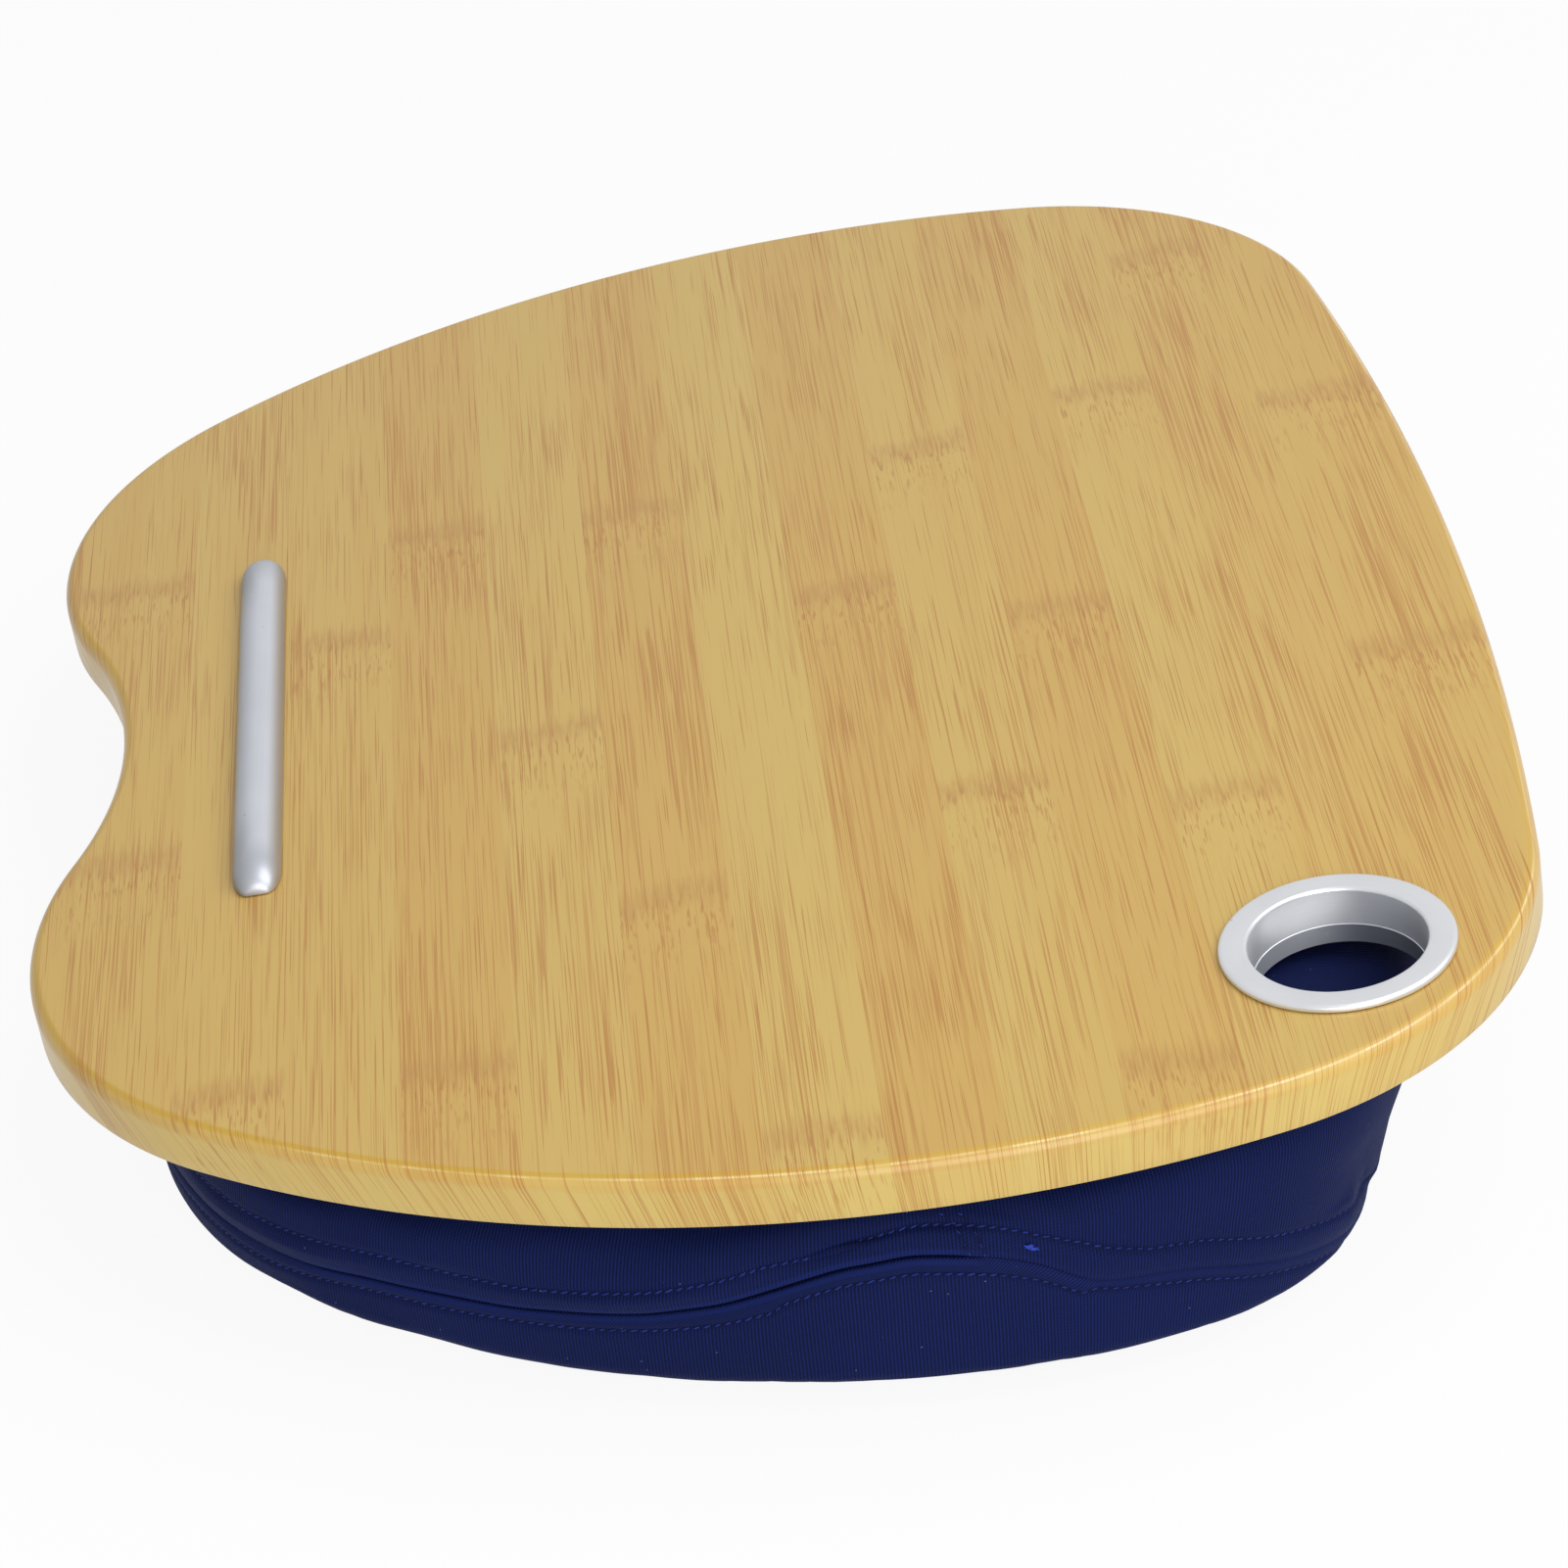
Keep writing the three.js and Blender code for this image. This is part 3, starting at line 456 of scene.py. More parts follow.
@dataclass(frozen=True)
class SatinSilver:
    """Silver lacquer with a fine satin grain, with painted shade and reflections on a rail and in a
    ring's bore.
    """

    colour: Colour = (0.735, 0.750, 0.778)
    roughness: float = 0.30
    metallic: float = 0.64
    # Shares and tints of the painted shade and painted reflections on a rail's sides and ends.
    side_shade: float = 0.62
    nose_shade: float = 0.36
    cloud_shade: float = 0.62
    cool_tint: Colour = (0.96, 0.99, 1.03)
    wood_reflection_tint: Colour = (0.98, 0.86, 0.72)
    dust: Colour = (0.30, 0.31, 0.33)
    # Dark navy of a painted reflection of the cover, low in a ring's bore.
    painted_navy_reflection: Colour = (0.085, 0.095, 0.145)

    def shaded(self, share: float, tint: Colour = (1.0, 1.0, 1.0)) -> Colour:
        """The silver made darker and tinted."""
        return tuple(c * share * t for c, t in zip(self.colour, tint))

    def turned(self, name: str, axis: Point) -> Material:
        """Builds the finish of a turned piece, with a painted reflection of the navy cover low in
        its bore.

        Args:
            name: The material's name.
            axis: Middle of the piece in the board's plan.

        Returns:
            The finished material.
        """
        s = Shader(bpy.data.materials.new(name))
        x, y, z = s.place(-BOARD_TILT)
        east = x - axis[0] * MM
        north = y - axis[1] * MM
        radius = (east * east + north * north).math("SQRT")
        grain = s.noise(s.join(radius * 2600.0, z * 2600.0, (east + north) * 60.0), 1.0, 2.0)
        # Painted reflection: below the ledge the bore is painted toward dark navy, most toward +Y.
        under = (z - BOARD_LEVEL * MM).ramp(0.0050, 0.0048) * radius.ramp(0.0186, 0.0184)
        colour = s.mix(under * north.ramp(-0.006, 0.010, 0.10, 0.80), self.colour, self.painted_navy_reflection)
        return self.lacquer(s, (x, y, z), grain, colour)

    def drawn(self, name: str, middle: Point, half: Point) -> Material:
        """Builds the finish of a rail that runs along X, with painted shade and reflections on its
        sides and ends.

        Args:
            name: The material's name.
            middle: The rail's middle in the board's plan.
            half: Half of its length and half of its width.

        Returns:
            The finished material.
        """
        s = Shader(bpy.data.materials.new(name))
        x, y, z = s.place(-BOARD_TILT)
        grain = s.noise(s.join(x * 50.0, y * 2200.0, z * 2200.0), 1.0, 2.0)
        across = (y - middle[1] * MM) / (half[1] * MM)
        from_end = half[0] * MM - abs(x - middle[0] * MM)
        # Painted shade: the left side and both ends are painted darker and cooler, the left of each
        # nose darker still.
        left = across.ramp(0.1, -1.0).most(from_end.ramp(0.018, 0.004, 0.0, 0.55))
        nose = from_end.ramp(0.034, 0.010) * across.ramp(0.3, -0.8, 0.0, 0.6)
        # Painted reflection: the right side takes a warm tint of the wood beside it.
        right = across.ramp(0.45, 0.95)
        thin = self.shaded(self.side_shade, self.cool_tint)
        warm = self.shaded(self.side_shade, self.wood_reflection_tint)
        shaded_nose = self.shaded(self.nose_shade)
        colour = s.mix(nose, s.mix(right, s.mix(left, self.colour, thin), warm), shaded_nose)
        return self.lacquer(s, (x, y, z), grain, colour)

    def lacquer(self, s: Shader, place: tuple[Value, ...], grain: Value, colour: Any) -> Material:
        """Ends a silver tree: clouds, grain and a little dust over a colour.

        Args:
            s: The shader to end.
            place: X, Y and Z in the board's frame.
            grain: Noise that follows the way the piece was finished.
            colour: The silver, as a colour or a colour socket.

        Returns:
            The finished material.
        """
        cloud = s.noise(s.join(*place), 60.0, 2.0)
        dust = s.noise(s.join(*place), 620.0, 0.0).ramp(0.84, 0.88)
        grey = self.shaded(self.cloud_shade)
        colour = s.mix((cloud * 0.7 + grain * 0.3).ramp(0.3, 0.7, 0.0, 0.16), colour, grey)
        colour = s.mix(dust * 0.5, colour, self.dust)
        rough = cloud * 0.05 + grain * 0.03 + (self.roughness - 0.04) + dust * 0.3
        return s.surface(
            Base_Color=colour,
            Roughness=rough,
            Metallic=self.metallic,
            Normal=s.bump(grain, 0.002, 0.10),
        )


@dataclass(frozen=True)
class RibbedFabric:
    """Navy stretch fabric with fine upright ribs that lie slanted on the narrow sewn band, with
    painted shade and highlights at the seam and under the board.
    """

    colour: Colour = (0.0008, 0.0027, 0.0200)
    lit: Colour = (0.0059, 0.0146, 0.1010)
    fluff: Colour = (0.30, 0.34, 0.50)
    sheen: Colour = (0.30, 0.40, 1.0)
    rib: float = 0.76
    purl: float = 0.8
    band: float = 4.2

    def material(self, name: str) -> Material:
        """Builds the fabric; its UV map runs along the outline and up from the seam, in metres.

        Args:
            name: The material's name.

        Returns:
            The finished material.
        """
        s = Shader(bpy.data.materials.new(name))
        along, up = s.uv()
        low = up.most(-self.band * MM).least(0.0)
        wander = s.noise(s.join(along * 60.0, up * 60.0), 1.0, 2.0) - 0.5
        phase = (along + low * 0.9 + wander * 0.0004) * (math.tau / (self.rib * MM))
        ribs = phase.sine() * 0.5 + 0.5
        purl = (up * (math.tau / (self.purl * MM)) + phase * 0.5).sine() * 0.5 + 0.5
        cloth = ribs * 0.8 + purl * 0.2
        patchy = s.noise(s.join(along * 14.0, up * 22.0), 1.0, 3.0)
        speckle = s.noise(s.join(along * 1400.0, up * 500.0), 1.0, 1.0)
        shade = (cloth * 0.78 + patchy * 0.30 + speckle * 0.25 - 0.17).ramp(0.0, 1.0)
        # Painted highlight: the lips on both sides of the seam are painted brighter, most along the
        # zip's slit.
        edge = abs(abs(up) - 1.3 * MM).ramp(0.0009, 0.0002)
        marks = s.node("ShaderNodeAttribute", attribute_name="sewing").outputs["Vector"]
        sewn, slit, _ = s.parts(marks)
        _, _, height = s.place(-BOARD_TILT)
        # Painted shade: the fabric under the board is painted darker.
        board_shade = (height - BOARD_LEVEL * MM).ramp(-0.0080, -0.0050, 1.0, 0.55)
        # Painted shade darkens the fabric along the stitch rows.
        light = shade * (1.0 - sewn * 0.7) + edge * (slit * 0.33 + 0.12)
        colour = s.mix(light * board_shade, self.colour, self.lit)
        fluff = s.noise(s.join(along, up), 1150.0, 0.0).ramp(0.880, 0.905)
        colour = s.mix(fluff * 0.35, colour, self.fluff)
        return s.surface(
            Base_Color=colour,
            Roughness=0.66 + speckle * 0.12,
            Specular_IOR_Level=0.10,
            Sheen_Weight=0.03,
            Sheen_Roughness=0.45,
            Sheen_Tint=self.sheen,
            Normal=s.bump(cloth, 0.16, 0.55),
        )


@dataclass(frozen=True)
class PlainFinish:
    """A dull finish with a grain of its own, for pieces that are mostly hidden."""

    colour: Colour
    second: Colour
    roughness: float = 0.7
    metallic: float = 0.0
    grain: float = 900.0
    depth: float = 0.1
    gloss: float = 0.4

    def material(self, name: str) -> Material:
        """Builds the finish under a piece's name.

        Args:
            name: The material's name.

        Returns:
            The finished material.
        """
        s = Shader(bpy.data.materials.new(name))
        x, y, z = s.place()
        spot = s.noise(s.join(x, y, z), self.grain, 3.0, 0.6)
        cloud = s.noise(s.join(x, y, z), self.grain * 0.06, 2.0)
        colour = s.mix((spot * 0.7 + cloud * 0.6 - 0.15).ramp(0.15, 0.85), self.colour, self.second)
        rough = (spot - 0.5) * 0.2 + self.roughness
        return s.surface(
            Base_Color=colour,
            Roughness=rough,
            Metallic=self.metallic,
            Specular_IOR_Level=self.gloss,
            Normal=s.bump(spot, self.depth, 0.5),
        )


FIBREBOARD = PlainFinish((0.245, 0.150, 0.075), (0.36, 0.235, 0.12), 0.85, grain=700.0, depth=0.2)
ZINC = PlainFinish((0.42, 0.43, 0.45), (0.55, 0.56, 0.58), 0.38, 0.95, 1500.0, 0.02)
BLACK_NYLON = PlainFinish(
    (0.008, 0.008, 0.010), (0.020, 0.020, 0.024), 0.75, grain=1600.0, depth=0.3
)
LINING = PlainFinish((0.60, 0.59, 0.55), (0.74, 0.73, 0.69), 0.85, grain=1300.0, depth=0.2)
ZIP_TAPE = PlainFinish((0.004, 0.006, 0.030), (0.010, 0.014, 0.060), 0.8, grain=1800.0, depth=0.2)
ZIP_TEETH = PlainFinish((0.004, 0.006, 0.030), (0.009, 0.012, 0.052), 0.4, grain=600.0, depth=0.02)
ZIP_METAL = PlainFinish((0.006, 0.009, 0.040), (0.012, 0.016, 0.066), 0.35, 0.4, 500.0, 0.02)
THREAD = PlainFinish(
    (0.008, 0.017, 0.130), (0.021, 0.039, 0.240), 0.6, grain=2600.0, depth=0.15, gloss=0.12
)
LOOSE_THREAD = PlainFinish(
    (0.012, 0.028, 0.300), (0.040, 0.085, 0.560), 0.5, grain=2600.0, depth=0.1, gloss=0.2
)


# Meshes


@dataclass
class Skin:
    """Vertices in millimetres and faces, with UV places and sewing marks where they are wanted."""

    vertices: list[Sequence[float]] = field(default_factory=list)
    faces: list[Sequence[int]] = field(default_factory=list)
    uvs: list[Point] = field(default_factory=list)
    marks: list[Sequence[float]] = field(default_factory=list)

    def grid(
        self, points: np.ndarray, uvs: np.ndarray | None, closed: bool, flip: bool = False
    ) -> None:
        """Adds rows of points joined by quads.

        Args:
            points: Array of rows, columns and three coordinates.
            uvs: UV place of each point, or None.
            closed: Whether the last column joins the first; the UV then runs on by itself.
            flip: Whether the faces turn the other way.
        """
        start = len(self.vertices)
        rows, columns = points.shape[:2]
        self.vertices.extend(map(tuple, points.reshape(-1, 3)))
        if uvs is not None:
            self.uvs.extend(map(tuple, uvs.reshape(-1, 2)))
        for r in range(rows - 1):
            for c in range(columns if closed else columns - 1):
                a = start + r * columns + c
                b = start + r * columns + (c + 1) % columns
                face = (a, b, b + columns, a + columns)
                self.faces.append(face[::-1] if flip else face)

    def cap(self, loops: Sequence[Sequence[int]], flip: bool = False) -> None:
        """Fills the region between loops of vertices that are already there.

        Args:
            loops: The outer loop and then any holes, as vertex numbers.
            flip: Whether the faces turn the other way.
        """
        numbers = [n for loop in loops for n in loop]
        flat = [[Vector((*self.vertices[n][:2], 0.0)) for n in loop] for loop in loops]
        for triangle in tessellate_polygon(flat):
            a, b, c = (Vector((*self.vertices[numbers[i]][:2], 0.0)) for i in triangle)
            upward = (b - a).cross(c - a).z > 0.0
            corners = [numbers[i] for i in triangle]
            self.faces.append(corners[::-1] if upward == flip else corners)

    def piece(self, name: str, matrix: Matrix | None = None, sharp: float = 40.0) -> Piece:
        """Makes the object, smooth-shaded, with its place in its mesh.

        Args:
            name: The piece's name.
            matrix: Turns the vertices into the row frame, or None for the frame's shift alone.
            sharp: Edges bent by more than this many degrees stay sharp.

        Returns:
            The new object, linked to the scene.
        """
        mesh = bpy.data.meshes.new(name)
        mesh.from_pydata(self.vertices, [], self.faces)
        if self.uvs:
            layer = mesh.uv_layers.new(name="sheet")
            corners = np.zeros(len(mesh.loops), dtype=np.int32)
            mesh.loops.foreach_get("vertex_index", corners)
            layer.data.foreach_set("uv", np.asarray(self.uvs, dtype=np.float32)[corners].ravel())
        if self.marks:
            sewing = mesh.attributes.new("sewing", "FLOAT_VECTOR", "POINT")
            sewing.data.foreach_set("vector", np.asarray(self.marks, dtype=np.float32).ravel())
        mesh.transform(matrix or row_matrix())
        mesh.shade_smooth()
        mesh.set_sharp_from_angle(angle=math.radians(sharp))
        mesh.validate()
        return add_object(name, mesh)


def row_matrix() -> Matrix:
    """From millimetres about the middle of the side curves to the row frame."""
    return Matrix.Translation((0.0, FRAME_SHIFT_Y * MM, 0.0)) @ Matrix.Scale(MM, 4)


def board_matrix() -> Matrix:
    """From millimetres in the tilted board's frame to the row frame."""
    lift = Matrix.Translation((0.0, FRAME_SHIFT_Y * MM, BOARD_HEIGHT * MM))
    return lift @ Matrix.Rotation(BOARD_TILT, 4, "X") @ Matrix.Scale(MM, 4)


def add_object(name: str, data: bpy.types.ID) -> Piece:
    """Makes an object and links it to the scene.

    Args:
        name: The object's name.
        data: Its mesh, curve, camera or light.

    Returns:
        The new object.
    """
    made = bpy.data.objects.new(name, data)
    bpy.context.scene.collection.objects.link(made)
    return made


def plain_mesh(piece: Piece) -> Mesh:
    """The mesh that a piece's modifiers or curves come to."""
    solved = piece.evaluated_get(bpy.context.evaluated_depsgraph_get())
    return bpy.data.meshes.new_from_object(solved)


def settle(piece: Piece) -> None:
    """Turns a piece's modifiers into its plain mesh.

    Args:
        piece: The object, which keeps its name and its place.
    """
    mesh = plain_mesh(piece)
    piece.modifiers.clear()
    piece.data = mesh
    mesh.name = piece.name


def spokes(angle: np.ndarray | float) -> np.ndarray:
    """Unit vectors in plan at angles from X."""
    return np.stack([np.cos(angle), np.sin(angle)], axis=-1)


def slope(values: np.ndarray, begin: float, length: float) -> np.ndarray:
    """Goes evenly from zero at one value to one a length further on."""
    return np.clip((values - begin) / length, 0.0, 1.0)


def ease(values: np.ndarray, begin: float, length: float) -> np.ndarray:
    """Goes smoothly from zero at one value to one a length further on."""
    share = slope(values, begin, length)
    return share * share * (3.0 - 2.0 * share)


def bell(values: np.ndarray, width: float) -> np.ndarray:
    """One at zero, falling off on both sides within about a width."""
    return np.exp(-((values / width) ** 2))


def finish_piece(
    piece: Piece, body: Body, material: Material, replaced: Sequence[str] = ()
) -> None:
    """Dresses a piece and ties it to the frame.

    Args:
        piece: The new object.
        body: The body that it rides on.
        material: Its finish.
        replaced: CAD nodes that it stands for.
    """
    if not piece.data.materials:
        piece.data.materials.append(material)
    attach(piece, body.value)
    if replaced:
        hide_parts(*replaced)
    LOG.info("%s: %d faces on %s", piece.name, len(piece.data.polygons), body.value)


class Outline:
    """A closed outline of tangent arcs, alike on both sides of Y, with a notch at the front."""

    def __init__(self, back_y: float, arcs: Sequence[Point]) -> None:
        """Places the arcs from the middle of the back edge round the right side.

        Args:
            back_y: Y of the middle of the back edge.
            arcs: Radius and sweep in degrees of each arc; the notch closes the outline by itself.
        """
        self.parts: list[tuple[np.ndarray, float, float, float, float]] = []
        normal = math.pi / 2
        point = np.array([0.0, back_y])
        for radius, sweep in arcs:
            centre = point - radius * spokes(normal)
            self.parts.append((centre, radius, normal, -math.radians(sweep), 1.0))
            normal -= math.radians(sweep)
            point = centre + radius * spokes(normal)
        turn = -math.pi / 2 - normal
        radius = point[0] / math.sin(turn)
        centre = point + radius * spokes(normal)
        self.parts.append((centre, radius, normal + math.pi, turn, -1.0))
        self.lengths = np.array([abs(turn) * radius for _, radius, _, turn, _ in self.parts])
        self.half = float(self.lengths.sum())

    def at(self, distance: np.ndarray) -> tuple[np.ndarray, np.ndarray]:
        """Points and outward normals at distances clockwise from the middle of the back.

        Args:
            distance: Distances along the outline in millimetres, up to its whole length.

        Returns:
            Points and outward normals, each as an array of two columns.
        """
        whole = np.mod(distance, 2.0 * self.half)
        left = whole > self.half
        run = np.where(left, 2.0 * self.half - whole, whole)
        points = np.zeros((len(run), 2))
        normals = np.zeros((len(run), 2))
        begun = 0.0
        for (centre, radius, start, turn, side), length in zip(self.parts, self.lengths):
            here = (run >= begun - 1e-9) & (run <= begun + length + 1e-9)
            angle = start + turn * (run[here] - begun) / length
            points[here] = centre + radius * spokes(angle)
            normals[here] = side * spokes(angle)
            begun += length
        mirror = np.where(left, -1.0, 1.0)
        points[:, 0] *= mirror
        normals[:, 0] *= mirror
        return points, normals


# Board


@dataclass
class Board:
    """The board: printed foil over a fibreboard core, with a flanged ring and a stop rail."""

    back_y: float = 163.0
    arcs: tuple[Point, ...] = ((1165.0, 6.9), (87.0, 70.6), (272.0, 49.7), (97.0, 75.7))
    thickness: float = 12.0
    edge_radius: float = 3.0
    foot_radius: float = 0.5
    foil: float = 0.4
    flat_margin: float = 0.5
    pitch: float = 2.0
    ring_x: float = 169.1
    ring_y: float = 106.2
    hole_radius: float = 21.3
    ring_sides: int = 128
    ring_radius: float = 25.0
    ring_foot: tuple[Point, ...] = ((18.2, 5.0), (18.3, 0.5), (18.6, 0.3), (20.5, 0.3), (21.0, 0.8))
    ring_seat: tuple[Point, ...] = ((21.0, 0.0), (24.9, 0.0), (25.0, 0.12))
    ring_ledge: tuple[Point, ...] = ((18.34, 5.06), (18.26, 5.0))
    lip_width: float = 1.1
    lip_start: float = 0.55
    lip_round: float = 0.85
    crest_radius: float = 22.0
    crest_rise: float = 1.42
    bore_edge: float = 19.7
    bore_rise: float = 1.4
    rail_x: float = 1.8
    rail_y: float = -123.0
    rail_length: float = 154.0
    rail_width: float = 11.2
    rail_height: float = 5.4
    rail_nose: float = 8.5
    rail_foot: float = 0.3
    seat_gap: float = 0.3

    def build(self) -> None:
        """Makes the foil, the ring and the rail, and dresses the core and the screws."""
        self.foil_skin()
        self.ring(SatinSilver())
        self.rail(SatinSilver(colour=(0.640, 0.662, 0.712), roughness=0.42, metallic=0.60))
        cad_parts["board_core"].data.materials[0] = FIBREBOARD.material("fibreboard")
        zinc = ZINC.material("screw_zinc")
        for name in ("rail_screw_left", "rail_screw_right"):
            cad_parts[name].data.materials[0] = zinc

    def circle(self, radius: float, height: float, sides: int) -> np.ndarray:
        """Points of a level circle about the ring's axis, clockwise from above."""
        plan = (self.ring_x, self.ring_y) + radius * spokes(-math.tau * np.arange(sides) / sides)
        return np.column_stack([plan, np.full(sides, height)])

    def foil_skin(self) -> None:
        """The foil as a thin closed skin whose UV map is the sheet unrolled over the edge."""
        outline = Outline(self.back_y, self.arcs)
        count = round(2.0 * outline.half / self.pitch)
        points, normals = outline.at(np.arange(count) * 2.0 * outline.half / count)
        radius = self.edge_radius
        margin = self.flat_margin
        rows: list[Place] = [(radius + margin, self.thickness, -margin)]
        for angle in np.linspace(0.0, math.pi / 2, 11):
            lean = radius * (1.0 - math.sin(angle))
            rows.append((lean, self.thickness - radius * (1.0 - math.cos(angle)), radius * angle))
        down = radius * math.pi / 2
        shoulder = self.thickness - radius
        for height in (shoulder * 0.66, shoulder * 0.33, self.foot_radius):
            rows.append((0.0, height, down + shoulder - height))
        foot = self.foot_radius
        rows.append((foot * 0.3, foot * 0.3, down + shoulder - foot * 0.3))
        rows.append((foot, 0.0, down + shoulder + foot))
        inner = self.foil + foot
        rows.append((inner, self.foil, down + shoulder))
        rows.append((inner, shoulder, down))
        rows.append((radius + margin, self.thickness - self.foil, -margin))
        grid = np.zeros((len(rows), count, 3))
        uvs = np.zeros((len(rows), count, 2))
        for k, (inset, height, run) in enumerate(rows):
            grid[k, :, :2] = points - normals * inset
            grid[k, :, 2] = height
            uvs[k] = (points - normals * (radius - run)) * MM
        skin = Skin()
        skin.grid(grid, uvs, closed=True, flip=True)
        top = self.circle(self.hole_radius, self.thickness, self.ring_sides)
        low = self.circle(self.hole_radius, self.thickness - self.foil, self.ring_sides)
        hole = np.stack([top, low])
        first = len(skin.vertices)
        skin.grid(hole, hole[:, :, :2] * MM, closed=True)
        hole_top = list(range(first, first + self.ring_sides))
        hole_low = [n + self.ring_sides for n in hole_top]
        skin.cap([list(range(count)), hole_top])
        skin.cap([list(range((len(rows) - 1) * count, len(rows) * count)), hole_low], flip=True)
        piece = skin.piece("board_foil", board_matrix())
        finish_piece(piece, Body.TRAY, BambooFoil().material(), ["bamboo_foil"])

    def ring(self, silver: SatinSilver) -> None:
        """The flanged ring, turned from a profile with a round lip, a drafted bore and a ledge.

        Args:
            silver: The ring's finish.
        """
        seat = self.thickness + self.seat_gap
        profile = list(self.ring_foot)
        profile += [(radius, seat + rise) for radius, rise in self.ring_seat]
        for angle in np.linspace(0.0, math.pi / 2, 7):
            radius = self.ring_radius - self.lip_width * (1.0 - math.cos(angle))
            profile.append((radius, seat + self.lip_start + self.lip_round * math.sin(angle)))
        profile.append((self.crest_radius, seat + self.crest_rise))
        for angle in np.linspace(0.0, math.pi / 2, 9):
            radius = self.bore_edge - self.lip_round * math.sin(angle)
            down = self.lip_round * (1.0 - math.cos(angle))
            profile.append((radius, seat + self.bore_rise - down))
        profile += self.ring_ledge
        rows = np.stack([self.circle(r, z, self.ring_sides) for r, z in [*profile, profile[0]]])
        skin = Skin()
        skin.grid(rows[:-1], None, closed=True)
        last = (len(profile) - 1) * self.ring_sides
        for c in range(self.ring_sides):
            d = (c + 1) % self.ring_sides
            skin.faces.append((last + c, last + d, d, c))
        piece = skin.piece("ring", board_matrix(), sharp=32.0)
        material = silver.turned("ring_silver", (self.ring_x, self.ring_y + BOARD_SHIFT_Y))
        finish_piece(piece, Body.TRAY, material, ["grommet_ring"])

    def rail(self, silver: SatinSilver) -> None:
        """The half-round rail, its ends rounded off in plan and in height.

        Args:
            silver: The rail's finish.
        """
        half, foot = 0.5 * self.rail_length, self.rail_foot
        seat = self.thickness + self.seat_gap
        angles = np.linspace(0.10, math.pi / 2, 14)
        ends = [(half - self.rail_nose * (1.0 - math.cos(a)), math.sin(a)) for a in angles]
        stations = [(-x, scale) for x, scale in ends] + [(x, scale) for x, scale in reversed(ends)]
        arc = np.linspace(0.0, math.pi, 25)
        rows = np.zeros((len(stations), len(arc) + 2, 3))
        for k, (x, scale) in enumerate(stations):
            wide = 0.5 * self.rail_width * (0.35 + 0.65 * scale)
            across = np.concatenate([[wide], wide * np.cos(arc), [-wide]])
            crown = foot + (self.rail_height - foot) * scale * np.sin(arc)
            up = np.concatenate([[0.0], crown, [0.0]])
            along = np.full(len(across), self.rail_x + x)
            rows[k] = np.stack([along, self.rail_y + across, seat + up], axis=1)
        skin = Skin()
        skin.grid(rows, None, closed=True)
        columns = rows.shape[1]
        last = (len(stations) - 1) * columns
        skin.faces.append(list(range(columns))[::-1])
        skin.faces.append(list(range(last, last + columns)))
        piece = skin.piece("rail", board_matrix())
        middle = (self.rail_x, self.rail_y + BOARD_SHIFT_Y)
        material = silver.drawn("rail_silver", middle, (half, 0.5 * self.rail_width))
        finish_piece(piece, Body.TRAY, material, ["stop_rail"])


# Cushion


